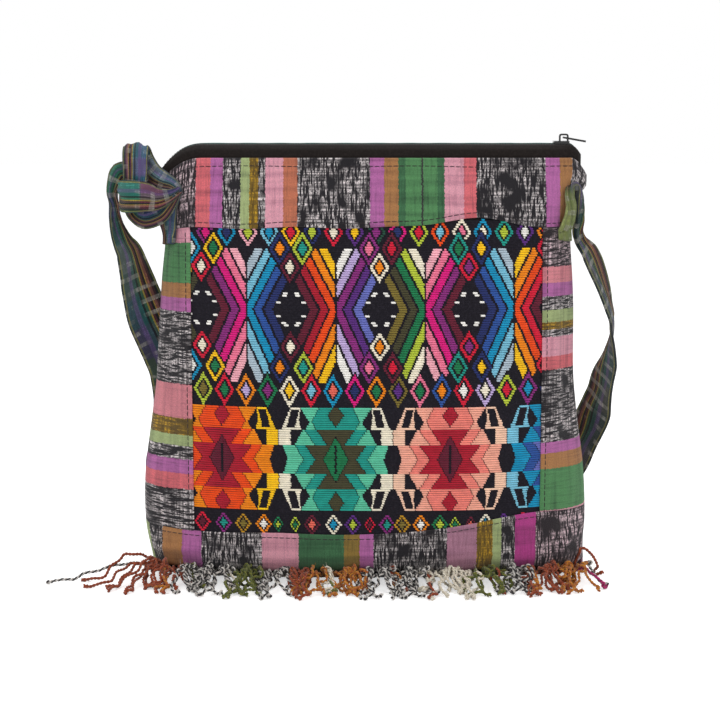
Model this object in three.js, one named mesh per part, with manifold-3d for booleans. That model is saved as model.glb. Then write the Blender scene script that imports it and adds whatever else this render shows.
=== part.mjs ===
// Fringe crossbody purse: a flat cloth bag with a raised brocade panel in the middle of its
// front, framed by four bands of striped ikat cloth. A coil zipper closes the mouth. One long
// cloth strap is knotted near the left seam, and its spare length lies folded behind the bag.
// A fringe of twisted yarn comes out of the lower front seam. The bag is lined, and it
// stands filled on its own back cloth, which turns under to make the base.
// Millimetres, +Z up, the front faces -Y. The origin is the middle of the flat base.
import * as THREE from "three";
import { mergeVertices } from "three/addons/utils/BufferGeometryUtils.js";
import Module from "manifold-3d";

const wasm = await Module();
wasm.setup();

// Driving sizes of the filled bag.
const BAG_HEIGHT = 248; // floor to the top edge of the ikat bands
const HALF_WIDTH = 129; // middle to the side seam
const HALF_DEPTH = 32; // middle to the fullest part of the front or back
const MOUTH_HALF_DEPTH = 9.5; // middle to the cloth edge at the zipper
const BASE_FRONT = 20; // middle to the lower front seam
const BASE_BACK = 23; // middle to where the back cloth turns up
const BASE_ROUNDING = 14; // height of the rounding where the walls meet the base
const SEAM_HEIGHT = 7; // lower edge of the front cloth above the floor
const CORNER_DROP = 11; // how far the mouth falls at the bag's top corners
const CORNER_RUN = 26; // length of mouth over which it falls

// Cloth layers, outwards from the filled shape.
const PANEL_CLOTH = 0.9; // ground cloth of the brocade
const BROCADE_RISE = 0.7; // raised yarn above the ground cloth
const BAND_CLOTH = 1.2; // folded ikat band
const LAYER_GAP = 0.3; // between layers that are sewn face to face
const BAND_LIFT = PANEL_CLOTH + LAYER_GAP;
const SKIN = BAND_LIFT + BAND_CLOTH; // filled shape to the outside of the bag
const SEAM_GAP = 0.5; // between front and back cloth along the side seams
const LINING_CLOTH = 0.7;
const LINING_EASE = 0.9; // the lining hangs this far inside the bag
const LINING_HEM = 3; // the lining ends this far below the mouth

// The window that the four bands leave open over the brocade panel.
const WINDOW_HALF_WIDTH = 105;
const WINDOW_BOTTOM = 29;
const WINDOW_TOP = 209;
const PANEL_LAP = 4; // how far the panel reaches under the bands

// Brocade: a row of black eyes with coloured strips on both sides and small lozenges
// above and below, over a row of stars with hooks.
const EYE_SPACING = 51.5;
const EYE_OFFSET = 4.5; // middle of the bag to the middle of the third eye
const EYE_ROW = 162; // height of the row of eyes
const EYE_HALF_WIDTH = 8.7;
const STRIP_WIDTH = 5.7;
const STRIP_GAP = 0.8;
const STRIP_SLOPE = 1.75; // rise over run of a strip's edge
const STRIPS = 4; // on each side of an eye; the outermost is a double one
const STRIP_RISE = 31.6; // how far the strips go above the eyes
const STRIP_FALL = 40.6; // and below them
const LOZENGE_PITCH = 12.9;
const LOZENGE_HALF_WIDTH = 4.7;
const LOZENGE_HALF_HEIGHT = 7.6;
const LOZENGE_ROWS = [21.5, 40]; // above the eyes: one each, and a full row
const LOW_LOZENGE_ROWS = [25.5, 49]; // the same below them
const STAR_SPACING = 66.7;
const STAR_OFFSET = -18.6;
const STAR_ROW = 69.5;
const STAR_RADIUS = 23;
const STAR_WAIST = 15;
const STAR_HEART = 11;
const HOOK_SIZE = 8;
const BROCADE_MARGIN = 0.6; // between the raised yarn and the bands

// Zipper.
const CHAIN_RISE = 7.5; // middle of the chain above the bands' top edge
const CHAIN_END = HALF_WIDTH - 11; // both ends of the chain, from the middle
const RUN_LEFT = -(HALF_WIDTH - 31); // the straight run that the slider travels
const RUN_RIGHT = HALF_WIDTH - 12;
const ROW_WIDTH = 1.7; // one row of teeth
const ROW_GAP = 0.3; // between the two rows
const TOOTH_PITCH = 6.5;
const TOOTH_DEPTH = 0.5;
const TOOTH_HEIGHT = 2;
const TAPE_CLOTH = 0.6;
const TAPE_FLAT = 5.4; // the tape lies level this far from the middle
const TAPE_TUCK = 9; // how far the tape goes down behind the band

// Slider and pull tab.
const SLIDER_LENGTH = 9;
const SLIDER_NARROW = 4.3; // half width where the closed teeth leave
const SLIDER_WIDE = 4.9; // half width where the open teeth enter
const SLIDER_PLATE = 0.9;
const SLIDER_PLAY = 0.35;
const SLIDER_FLANGE = 1.1;
const WEDGE_LENGTH = 2.6;
const WEDGE_HALF_WIDTH = 0.55;
const BAIL_AT = 1.5; // middle of the bail ahead of the slider's middle
const BAIL_BAR = 1;
const BAIL_INNER = 1.8; // middle of the bail to the inside of its legs
const BAIL_WIDTH = 1.6;
const PIN_RISE = 1.9; // the tab's turning axis above the top plate
const PIN_PLAY = 0.7; // the tab's bar below the bail's top
const TAB_LENGTH = 13;
const TAB_WIDTH = 5.2;
const TAB_EYE_WIDTH = 4.4;
const TAB_THICK = 1.1;
const TAB_SLOT = 4.7; // axis to the far end of the tab's slot
const TAB_DROOP = 10; // degrees below level, where the tab rests just clear of the chain

// Strap: a flat tube of ikat cloth, gathered narrow where it is sewn or knotted.
const STRAP_WIDTH = 26;
const STRAP_CLOTH = 2.2;
const STRAP_GATHER = 9; // width where it is sewn to the bag
const KNOT_WIDTH = 12;
const KNOT_THICK = 6;
const STRAP_BACK = 51; // middle of the bag to the middle of the folded length
const FOLD_HALF_LENGTH = 96; // half length of the folds that lie on the floor

// Fringe of twisted yarn.
const YARN_RADIUS = 1.4;
const TUFTS = 16;
const FRINGE_REACH = 44; // how far an average strand reaches out from the seam
const FRINGE_CROWN = 8; // how high a strand arches
const FRINGE_MARGIN = 9; // first and last tuft from the side seams
const TUFT_SPREAD = 12; // how far apart the strands of one tuft end

const clamp = (x) => Math.max(0, Math.min(1, x));
function smoothstep(from, to, x) {
  const t = clamp((x - from) / (to - from));
  return t * t * (3 - 2 * t);
}
const steps = (a, b, n) => Array.from({ length: n + 1 }, (_, i) => a + ((b - a) * i) / n);

// A smooth line through stations [at, value], which never overshoots them.
function smoothLine(stations) {
  const rise = (i) => (stations[i + 1][1] - stations[i][1]) / (stations[i + 1][0] - stations[i][0]);
  const slopes = stations.map((_, i) => {
    if (i === 0 || i === stations.length - 1) return 0;
    const [before, after] = [rise(i - 1), rise(i)];
    return before * after <= 0 ? 0 : (2 * before * after) / (before + after);
  });
  const last = stations.length - 1;
  return (x) => {
    const at = Math.min(stations[last][0], Math.max(stations[0][0], x));
    const i = Math.min(last - 1, Math.max(0, stations.findIndex((s) => s[0] > at) - 1));
    const k = at >= stations[last][0] ? last - 1 : i;
    const h = stations[k + 1][0] - stations[k][0];
    const t = (at - stations[k][0]) / h;
    const [p, q] = [stations[k][1], stations[k + 1][1]];
    const start = (1 + 2 * t) * (1 - t) * (1 - t) * p + t * (1 - t) * (1 - t) * h * slopes[k];
    return start + t * t * (3 - 2 * t) * q + t * t * (t - 1) * h * slopes[k + 1];
  };
}

// Half width by share of the height: full below, a waist where the strap pulls the
// seams in, and wide corners at the mouth.
const widthShare = smoothLine([
  [0, 0.99],
  [0.13, 1.015],
  [0.42, 0.975],
  [0.71, 0.94],
  [0.82, 0.925],
  [0.93, 0.96],
  [1, 0.965],
]);
const halfWidthAt = (z) => HALF_WIDTH * widthShare(z / BAG_HEIGHT);

// Depth of the walls above the base rounding, from the fullest part to the mouth.
const fullness = smoothLine([
  [0, 0.95],
  [0.28, 1],
  [0.48, 0.94],
  [0.73, 0.68],
  [0.91, 0.26],
  [1, 0],
]);
function wallDepth(baseDepth, baseHeight, z) {
  const share = fullness(z / BAG_HEIGHT);
  const full = MOUTH_HALF_DEPTH + (HALF_DEPTH - MOUTH_HALF_DEPTH) * share;
  const t = clamp((z - baseHeight) / BASE_ROUNDING);
  return baseDepth + (full - baseDepth) * Math.sqrt(1 - (1 - t) * (1 - t));
}

// The share of the full depth that is left at x: all of it in the middle, none at the
// side seams. The mouth keeps its depth further out than the body does.
function depthShare(x, z) {
  const power = 3 + 9 * smoothstep(0.8 * BAG_HEIGHT, BAG_HEIGHT, z);
  return Math.pow(clamp(1 - Math.pow(Math.min(1, Math.abs(x) / halfWidthAt(z)), power)), 0.55);
}

// How far the mouth has fallen at x, towards the two top corners.
function mouthDrop(x) {
  const left = smoothstep(-RUN_LEFT, -RUN_LEFT + CORNER_RUN, -x);
  const right = smoothstep(RUN_RIGHT, RUN_RIGHT + CORNER_RUN / 2, x);
  return CORNER_DROP * Math.max(left, right);
}

// Columns of the cloth: straight up and down over the panel, and spread out evenly
// between the panel's edge and the side seam beyond it.
const PANEL_HALF_WIDTH = WINDOW_HALF_WIDTH + PANEL_LAP;
function columnAt(column, z) {
  const beyond = Math.abs(column) - PANEL_HALF_WIDTH;
  if (beyond <= 0) return column;
  const share = beyond / (HALF_WIDTH - PANEL_HALF_WIDTH);
  return Math.sign(column) * (PANEL_HALF_WIDTH + share * (halfWidthAt(z) - PANEL_HALF_WIDTH));
}
function onBag(column, depth, z) {
  const x = columnAt(column, z);
  const y = Math.sign(depth) * SEAM_GAP / 2 + depth * depthShare(x, z);
  const drop = mouthDrop(x) * smoothstep(0.75 * BAG_HEIGHT, BAG_HEIGHT, z);
  return new THREE.Vector3(x, y, z - drop);
}
const frontAt = (column, z) => onBag(column, -wallDepth(BASE_FRONT, SEAM_HEIGHT, z), z);

// The back cloth: v below 0 runs under the bag from the lower seam, v from 0 goes up.
const BASE_START = -BASE_FRONT + 1.5;
const backAt = (column, v) =>
  v < 0
    ? onBagFloor(column, BASE_BACK + (BASE_BACK - BASE_START) * v)
    : onBag(column, wallDepth(BASE_BACK, SKIN, SKIN + v), SKIN + v);
function onBagFloor(column, y) {
  const p = onBag(column, BASE_BACK, SKIN);
  const share = p.y / (BASE_BACK + SEAM_GAP / 2);
  return new THREE.Vector3(p.x, y * share, SKIN);
}

// The outward normal of a sheet at (a, b), by small steps that stay inside its ranges.
const NUDGE = 1e-3;
function normalAt(point, a, b, low, high, side) {
  const here = point(a, b);
  const back = a > (low[0] + high[0]) / 2 ? -1 : 1;
  const down = b > (low[1] + high[1]) / 2 ? -1 : 1;
  const alongA = point(a + back * NUDGE, b).sub(here).multiplyScalar(back);
  const alongB = point(a, b + down * NUDGE).sub(here).multiplyScalar(down);
  return alongA.cross(alongB).multiplyScalar(side).normalize();
}

function geometryOf(points, faces) {
  const flat = new Float32Array(points.length * 3);
  points.forEach((p, i) => p.toArray(flat, i * 3));
  const geometry = new THREE.BufferGeometry();
  geometry.setAttribute("position", new THREE.BufferAttribute(flat, 3));
  geometry.setIndex(faces);
  return geometry;
}

// A closed sheet of cloth over the grid of columns and rows, from inner to outer along
// the outward normal of point(column, row). side is 1 where column x row faces out.
function clothSheet(point, columns, rows, inner, outer, side) {
  const low = [columns[0], rows[0]];
  const high = [columns[columns.length - 1], rows[rows.length - 1]];
  const points = [];
  for (const offset of [outer, inner])
    for (const b of rows)
      for (const a of columns)
        points.push(point(a, b).addScaledVector(normalAt(point, a, b, low, high, side), offset));
  const id = (layer, j, i) => (layer * rows.length + j) * columns.length + i;
  const faces = [];
  const quad = (a, b, c, d) => (side > 0 ? faces.push(a, b, c, a, c, d) : faces.push(a, c, b, a, d, c));
  const [lastRow, lastColumn] = [rows.length - 1, columns.length - 1];
  for (let j = 0; j < lastRow; j++)
    for (let i = 0; i < lastColumn; i++) {
      quad(id(0, j, i), id(0, j, i + 1), id(0, j + 1, i + 1), id(0, j + 1, i));
      quad(id(1, j, i), id(1, j + 1, i), id(1, j + 1, i + 1), id(1, j, i + 1));
    }
  for (let i = 0; i < lastColumn; i++) {
    quad(id(1, 0, i), id(1, 0, i + 1), id(0, 0, i + 1), id(0, 0, i));
    quad(id(0, lastRow, i), id(0, lastRow, i + 1), id(1, lastRow, i + 1), id(1, lastRow, i));
  }
  for (let j = 0; j < lastRow; j++) {
    quad(id(0, j, 0), id(0, j + 1, 0), id(1, j + 1, 0), id(1, j, 0));
    quad(id(1, j, lastColumn), id(1, j + 1, lastColumn), id(0, j + 1, lastColumn), id(0, j, lastColumn));
  }
  return geometryOf(points, faces);
}

// A closed mesh as a solid for joins and cuts, and back.
function solidOf(geometry) {
  const bare = geometry.clone();
  bare.deleteAttribute("normal");
  bare.deleteAttribute("uv");
  const merged = mergeVertices(bare, 1e-4);
  return new wasm.Manifold(
    new wasm.Mesh({
      numProp: 3,
      vertProperties: new Float32Array(merged.attributes.position.array),
      triVerts: new Uint32Array(merged.index.array),
    }),
  );
}
function geometryFrom(solid) {
  const mesh = solid.getMesh();
  const flat = new Float32Array(mesh.numVert * 3);
  for (let i = 0; i < mesh.numVert; i++)
    flat.set(mesh.vertProperties.subarray(i * mesh.numProp, i * mesh.numProp + 3), i * 3);
  const geometry = new THREE.BufferGeometry();
  geometry.setAttribute("position", new THREE.BufferAttribute(flat, 3));
  geometry.setIndex(new THREE.BufferAttribute(new Uint32Array(mesh.triVerts), 1));
  return geometry;
}
// Joins solids, and drops the tiny edges that the joins leave.
const JOIN_TOLERANCE = 0.01;
const joined = (geometries) =>
  geometryFrom(
    geometries
      .map(solidOf)
      .reduce((a, b) => a.add(b))
      .simplify(JOIN_TOLERANCE),
  );

const finish = (color, roughness = 0.95, metalness = 0) =>
  new THREE.MeshStandardMaterial({ color, roughness, metalness });
const IKAT_PINK = finish(0xc77a98);
const IKAT_GREY = finish(0x6b6468);
const BROCADE = finish(0xb5303c);
const LINING = finish(0x2a2826);
const TAPE = finish(0x2b2825);
const COIL = finish(0x101010, 0.45);
const ENAMEL = finish(0x16181a, 0.35, 0.6);
const STRAP = finish(0x4b6a5c);

const purse = new THREE.Group();
purse.name = "fringe_purse";
function add(name, geometry, material, parent = purse) {
  const mesh = new THREE.Mesh(geometry, material);
  mesh.name = name;
  parent.add(mesh);
}

// One grid for all layers of the front, so that their facets lie face to face.
const mirrored = (values) => [...values.map((v) => -v).reverse(), 0, ...values];
const panelColumns = [0.3, 0.55, 0.75, 0.9, 1].map((s) => s * WINDOW_HALF_WIDTH);
const seamColumns = [0, 0.4, 0.72, 0.92, 1].map(
  (s) => PANEL_HALF_WIDTH + s * (HALF_WIDTH - PANEL_HALF_WIDTH),
);
const FRONT_COLUMNS = mirrored([...panelColumns, ...seamColumns]);
const SIDE_LOW = WINDOW_BOTTOM + LAYER_GAP;
const SIDE_HIGH = WINDOW_TOP - LAYER_GAP;
const TOP_ROWS = steps(WINDOW_TOP + PANEL_LAP, BAG_HEIGHT, 3);
const FRONT_ROWS = [
  ...[0, 0.05, 0.25, 1].map((s) => SEAM_HEIGHT + s * BASE_ROUNDING),
  WINDOW_BOTTOM - PANEL_LAP,
  WINDOW_BOTTOM,
  ...[0, 0.22, 0.44, 0.66, 0.85, 1].map((s) => SIDE_LOW + s * (SIDE_HIGH - SIDE_LOW)),
  WINDOW_TOP,
  ...TOP_ROWS,
];
const between = (values, low, high) => values.filter((v) => v > low - NUDGE && v < high + NUDGE);
function frontCloth(left, right, bottom, top, inner, outer) {
  const columns = between(FRONT_COLUMNS, left, right);
  return clothSheet(frontAt, columns, between(FRONT_ROWS, bottom, top), inner, outer, 1);
}

// Four ikat bands round the window, lapped over the panel's edges.
const band = (left, right, bottom, top) => frontCloth(left, right, bottom, top, BAND_LIFT, SKIN);
add("front_top_band", band(-HALF_WIDTH, HALF_WIDTH, WINDOW_TOP, BAG_HEIGHT), IKAT_PINK);
add("front_bottom_band", band(-HALF_WIDTH, HALF_WIDTH, SEAM_HEIGHT, WINDOW_BOTTOM), IKAT_PINK);
add("front_left_band", band(-HALF_WIDTH, -WINDOW_HALF_WIDTH, SIDE_LOW, SIDE_HIGH), IKAT_GREY);
add("front_right_band", band(WINDOW_HALF_WIDTH, HALF_WIDTH, SIDE_LOW, SIDE_HIGH), IKAT_GREY);

// Brocade outlines are convex polygons of [x, z], cut out of the window by straight lines.
const rectangle = (left, right, bottom, top) => [
  [left, bottom],
  [right, bottom],
  [right, top],
  [left, top],
];
// Keeps what lies on the side of the line where a * x + b * z is below limit.
function cutBy(outline, a, b, limit) {
  const over = ([x, z]) => a * x + b * z - limit;
  return outline.flatMap((p, i) => {
    const q = outline[(i + 1) % outline.length];
    const [dp, dq] = [over(p), over(q)];
    const kept = dp <= 0 ? [p] : [];
    if (dp * dq >= 0) return kept;
    const t = dp / (dp - dq);
    return [...kept, [p[0] + t * (q[0] - p[0]), p[1] + t * (q[1] - p[1])]];
  });
}
const moved = (outline, x, z) => outline.map(([px, pz]) => [px + x, pz + z]);
const mirroredX = (outline) => outline.map(([x, z]) => [-x, z]).reverse();
const mirroredZ = (outline) => outline.map(([x, z]) => [x, -z]).reverse();
const rhomb = (halfWidth, halfHeight) => [
  [halfWidth, 0],
  [0, halfHeight],
  [-halfWidth, 0],
  [0, -halfHeight],
];

// One arm of strip k, up and to the right of an eye: between two sloping lines, inside
// the half way line to the next eye, and under the lozenges that fill the top.
function stripArm(k, lozengeStart, length) {
  const inside = EYE_HALF_WIDTH + k * STRIP_WIDTH;
  const outside = inside + (k < STRIPS - 1 ? STRIP_WIDTH : 2 * STRIP_WIDTH);
  const reach = rectangle(STRIP_GAP / 2, (EYE_SPACING - STRIP_GAP) / 2, 0, length);
  const outer = cutBy(reach, 1, 1 / STRIP_SLOPE, outside - STRIP_GAP);
  const inner = cutBy(outer, -1, -1 / STRIP_SLOPE, -inside);
  return cutBy(inner, -STRIP_SLOPE * 0.9, 1, lozengeStart - STRIP_GAP);
}
const eyeCentres = [-2, -1, 0, 1, 2].map((i) => EYE_OFFSET + i * EYE_SPACING);
const outlines = [];
// An upper and a lower arm that meet at the height of the eyes are one bent outline.
function bent(up, low) {
  const onRow = (outline) => outline.filter(([, z]) => Math.abs(z) < NUDGE).sort((p, q) => p[0] - q[0]);
  const ends = onRow(up);
  if (ends.length !== 2) return null;
  const startAt = (outline, x) => {
    const i = outline.findIndex(([px, z]) => Math.abs(z) < NUDGE && Math.abs(px - x) < NUDGE);
    return [...outline.slice(i), ...outline.slice(0, i)];
  };
  return [...startAt(up, ends[1][0]), ...startAt(low, ends[0][0]).slice(1, -1)];
}
const inWindow = (outline) => outline.every(([x]) => Math.abs(x) < WINDOW_HALF_WIDTH - BROCADE_MARGIN);
for (const eye of eyeCentres)
  for (let k = 0; k < STRIPS; k++) {
    const up = stripArm(k, LOZENGE_ROWS[0] - LOZENGE_HALF_HEIGHT, STRIP_RISE);
    const low = mirroredZ(stripArm(k, LOW_LOZENGE_ROWS[0] - LOZENGE_HALF_HEIGHT, STRIP_FALL));
    const whole = bent(up, low);
    const apart = [cutBy(up, 0, -1, -STRIP_GAP / 2), cutBy(low, 0, 1, -STRIP_GAP / 2)];
    for (const turned of [(outline) => outline, mirroredX]) {
      const arrow = whole && moved(turned(whole), eye, EYE_ROW);
      if (arrow && inWindow(arrow)) outlines.push(arrow);
      else for (const arm of apart) outlines.push(moved(turned(arm), eye, EYE_ROW));
    }
  }
const lozenge = rhomb(LOZENGE_HALF_WIDTH, LOZENGE_HALF_HEIGHT);
for (const [rows, sign] of [
  [LOZENGE_ROWS, 1],
  [LOW_LOZENGE_ROWS, -1],
]) {
  for (const eye of eyeCentres) outlines.push(moved(lozenge, eye, EYE_ROW + sign * rows[0]));
  const count = Math.ceil(WINDOW_HALF_WIDTH / LOZENGE_PITCH);
  for (let i = -count; i <= count; i++)
    outlines.push(moved(lozenge, EYE_OFFSET + i * LOZENGE_PITCH, EYE_ROW + sign * rows[1]));
}

// A star: eight points round a raised heart lozenge, and a hook at each corner.
const starCorner = (i) => {
  const radius = i % 2 ? STAR_WAIST : STAR_RADIUS;
  return [radius * Math.cos((i * Math.PI) / 8), radius * Math.sin((i * Math.PI) / 8)];
};
const starOutline = Array.from({ length: 16 }, (_, i) => starCorner(i));
const hook = [
  [STAR_WAIST + 2, STAR_RADIUS - 2],
  [STAR_WAIST + 2 + HOOK_SIZE, STAR_RADIUS - 5],
  [STAR_WAIST + 4 + HOOK_SIZE, STAR_RADIUS + 3],
  [STAR_WAIST + HOOK_SIZE - 2, STAR_RADIUS + HOOK_SIZE - 1],
];
const starCentres = [-1, 0, 1, 2].map((i) => STAR_OFFSET + i * STAR_SPACING);
for (const star of starCentres) {
  const place = (outline) => outlines.push(moved(outline, star, STAR_ROW));
  place(starOutline);
  for (const sideX of [hook, mirroredX(hook)]) for (const corner of [sideX, mirroredZ(sideX)]) place(corner);
}

// Each outline is clipped by the window, and raised from inside the ground cloth.
const SMALLEST_AREA = 4; // what the window leaves of an outline is dropped below this
const ROOT_DEPTH = PANEL_CLOTH / 9; // how far inside the ground cloth it starts
function raised(outline, height) {
  const right = WINDOW_HALF_WIDTH - BROCADE_MARGIN;
  let clipped = cutBy(outline, 1, 0, right);
  clipped = cutBy(clipped, -1, 0, right);
  clipped = cutBy(clipped, 0, 1, WINDOW_TOP - BROCADE_MARGIN);
  clipped = cutBy(clipped, 0, -1, -WINDOW_BOTTOM - BROCADE_MARGIN);
  const shape = clipped.map(([x, z]) => new THREE.Vector2(x, z));
  if (shape.length < 3 || Math.abs(THREE.ShapeUtils.area(shape)) < SMALLEST_AREA) return null;
  const block = new THREE.ExtrudeGeometry(new THREE.Shape(shape), { depth: 1, bevelEnabled: false });
  const position = block.attributes.position;
  for (let i = 0; i < position.count; i++) {
    const [x, z] = [position.getX(i), position.getY(i)];
    const out = normalAt(frontAt, x, z, [-HALF_WIDTH, 0], [HALF_WIDTH, BAG_HEIGHT], 1);
    const offset = ROOT_DEPTH + position.getZ(i) * (PANEL_CLOTH + height - ROOT_DEPTH);
    const p = frontAt(x, z).addScaledVector(out, offset);
    position.setXYZ(i, p.x, p.y, p.z);
  }
  return block;
}
const brocade = outlines.map((outline) => raised(outline, BROCADE_RISE));
const heart = rhomb(STAR_HEART * 0.6, STAR_HEART);
for (const star of starCentres) brocade.push(raised(moved(heart, star, STAR_ROW), BROCADE_RISE * 2));
const ground = frontCloth(
  -PANEL_HALF_WIDTH,
  PANEL_HALF_WIDTH,
  WINDOW_BOTTOM - PANEL_LAP,
  WINDOW_TOP + PANEL_LAP,
  0,
  PANEL_CLOTH,
);
add("brocade_panel", joined([ground, ...brocade.filter(Boolean)]), BROCADE);

// The back cloth runs from the lower seam, flat under the bag, and up to the mouth.
const BACK_ROWS = [
  -1,
  -NUDGE,
  ...[0.06, 0.3].map((s) => s * BASE_ROUNDING),
  ...[0, 0.25, 0.5, 0.75, 0.92].map((s) => BASE_ROUNDING + s * (WINDOW_TOP - BASE_ROUNDING)),
  ...TOP_ROWS.map((z) => z - SKIN),
];
const BACK_COLUMNS = FRONT_COLUMNS.filter((c) => c !== panelColumns[0] && c !== -panelColumns[0]);
add("back_panel", clothSheet(backAt, BACK_COLUMNS, BACK_ROWS, BAND_LIFT, SKIN, -1), IKAT_GREY);

// The lining is a pouch that hangs just inside and is open at the mouth.
function pouch(inset, bottom, top) {
  const sides = [-1, -0.95, -0.8, -0.45, 0.45, 0.8, 0.95, 1];
  const rows = [bottom, bottom + BASE_ROUNDING, ...steps(bottom + 70, top, 3)];
  const rings = rows.map((z) => {
    const halfWidth = halfWidthAt(z) - inset;
    const wall = (share, depth) => {
      const x = share * halfWidth;
      const drop = mouthDrop(x) * smoothstep(0.75 * BAG_HEIGHT, BAG_HEIGHT, z);
      const low = 0.55 + 0.45 * smoothstep(0, BASE_ROUNDING, z - bottom);
      const shape = depthShare(share * halfWidthAt(z), z) * low;
      const y = Math.sign(depth) * 0.1 + (depth - Math.sign(depth) * inset) * shape;
      return new THREE.Vector3(x, y, z - drop);
    };
    const front = sides.map((s) => wall(s, -wallDepth(BASE_FRONT, SEAM_HEIGHT, Math.max(z, SEAM_HEIGHT))));
    const back = sides.map((s) => wall(s, wallDepth(BASE_BACK, SKIN, z)));
    return [...front, ...back.reverse()];
  });
  const count = 2 * sides.length;
  const faces = [];
  for (let j = 0; j + 1 < rings.length; j++)
    for (let i = 0; i < count; i++) {
      const [a, b] = [j * count + i, j * count + ((i + 1) % count)];
      faces.push(a, b, b + count, a, b + count, a + count);
    }
  const closeEnd = (base, up) => {
    for (let i = 0; i + 1 < sides.length; i++) {
      const [a, b, c, d] = [base + i, base + i + 1, base + count - 2 - i, base + count - 1 - i];
      faces.push(...(up ? [a, b, c, a, c, d] : [a, c, b, a, d, c]));
    }
  };
  closeEnd(0, false);
  closeEnd((rings.length - 1) * count, true);
  return solidOf(geometryOf(rings.flat(), faces));
}
const liningBottom = SKIN + LINING_EASE;
const liningOutside = pouch(LINING_EASE, liningBottom, BAG_HEIGHT - LINING_HEM);
const liningInside = pouch(LINING_EASE + LINING_CLOTH, liningBottom + LINING_CLOTH, BAG_HEIGHT + 1);
add("lining", geometryFrom(liningOutside.subtract(liningInside)), LINING);

// Zipper tapes: level beside the coil, over a fold, and down behind the cloth's edge.
const CHAIN_MIDDLE = BAG_HEIGHT + CHAIN_RISE;
const chainAt = (x) => CHAIN_MIDDLE - mouthDrop(x);
const ROW_INSIDE = ROW_GAP / 2;
const ROW_OUTSIDE = ROW_INSIDE + ROW_WIDTH;
const TAPE_INSIDE = ROW_OUTSIDE + LAYER_GAP;
const TAPE_FRONT_LIFT = PANEL_CLOTH - TAPE_CLOTH;
function tapeProfile(side, x) {
  const z = BAG_HEIGHT;
  const hem = SEAM_GAP / 2 + MOUTH_HALF_DEPTH * depthShare(x, z);
  const low = z - TAPE_TUCK;
  const base = side < 0 ? wallDepth(BASE_FRONT, SEAM_HEIGHT, low) : wallDepth(BASE_BACK, SKIN, low);
  const tuck = SEAM_GAP / 2 + base * depthShare(x, low);
  const flat = Math.min(TAPE_FLAT, TAPE_INSIDE + 0.8 * (hem - TAPE_INSIDE));
  const drop = mouthDrop(x);
  const lowDrop = drop * smoothstep(0.75 * BAG_HEIGHT, BAG_HEIGHT, low);
  const top = chainAt(x) - TAPE_CLOTH / 2 - TAPE_FRONT_LIFT;
  return [
    [TAPE_INSIDE, top],
    [flat, top],
    [flat + 0.7 * (hem - flat), top - 0.3 * CHAIN_RISE],
    [hem, z + 0.15 * CHAIN_RISE - drop],
    [hem, z - drop],
    [tuck, low - lowDrop],
  ];
}
function tape(side) {
  const point = (column, v) => {
    const x = columnAt(column, BAG_HEIGHT);
    const profile = tapeProfile(side, x);
    const k = Math.min(profile.length - 2, Math.max(0, Math.floor(v)));
    const t = v - k;
    const [p, q] = [profile[k], profile[k + 1]];
    return new THREE.Vector3(x, side * (p[0] + t * (q[0] - p[0])), p[1] + t * (q[1] - p[1]));
  };
  const ends = BACK_COLUMNS.filter((c) => Math.abs(columnAt(c, BAG_HEIGHT)) < CHAIN_END);
  const rows = steps(0, 5, 5);
  return clothSheet(point, ends, rows, TAPE_FRONT_LIFT, PANEL_CLOTH, side < 0 ? -1 : 1);
}
add("zipper_tape_front", tape(-1), TAPE);
add("zipper_tape_back", tape(1), TAPE);

// The two rows of coil teeth. They part round the slider's wedge.
const SLIDER_REST = RUN_RIGHT - SLIDER_LENGTH / 2 - 1;
function coil(side) {
  const teeth = Math.round((2 * CHAIN_END) / TOOTH_PITCH);
  const stations = steps(-CHAIN_END, CHAIN_END, 2 * teeth);
  const half = (i) => TOOTH_HEIGHT / 2 - (i % 2 ? TOOTH_DEPTH : 0);
  const section = (x, i) => {
    const z = chainAt(x);
    const parted = smoothstep(SLIDER_REST - TOOTH_PITCH, SLIDER_REST, x);
    const inside = ROW_INSIDE + parted * (WEDGE_HALF_WIDTH + SLIDER_PLAY / 2 - ROW_INSIDE);
    return [
      new THREE.Vector3(x, side * inside, z - half(i)),
      new THREE.Vector3(x, side * ROW_OUTSIDE, z - half(i)),
      new THREE.Vector3(x, side * ROW_OUTSIDE, z + half(i)),
      new THREE.Vector3(x, side * inside, z + half(i)),
    ];
  };
  return loft(stations.map(section), side > 0);
}

// A closed body through sections of equal point counts, with flat ends.
function loft(sections, flip) {
  const count = sections[0].length;
  const faces = [];
  const push = (a, b, c) => (flip ? faces.push(a, c, b) : faces.push(a, b, c));
  for (let j = 0; j + 1 < sections.length; j++)
    for (let i = 0; i < count; i++) {
      const [a, b] = [j * count + i, j * count + ((i + 1) % count)];
      push(a, b + count, b);
      push(a, a + count, b + count);
    }
  const last = (sections.length - 1) * count;
  for (let i = 1; i + 1 < count; i++) {
    push(0, i, i + 1);
    push(last, last + i + 1, last + i);
  }
  return geometryOf(sections.flat(), faces);
}
add("zipper_coil_front", coil(-1), COIL);
add("zipper_coil_back", coil(1), COIL);

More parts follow.
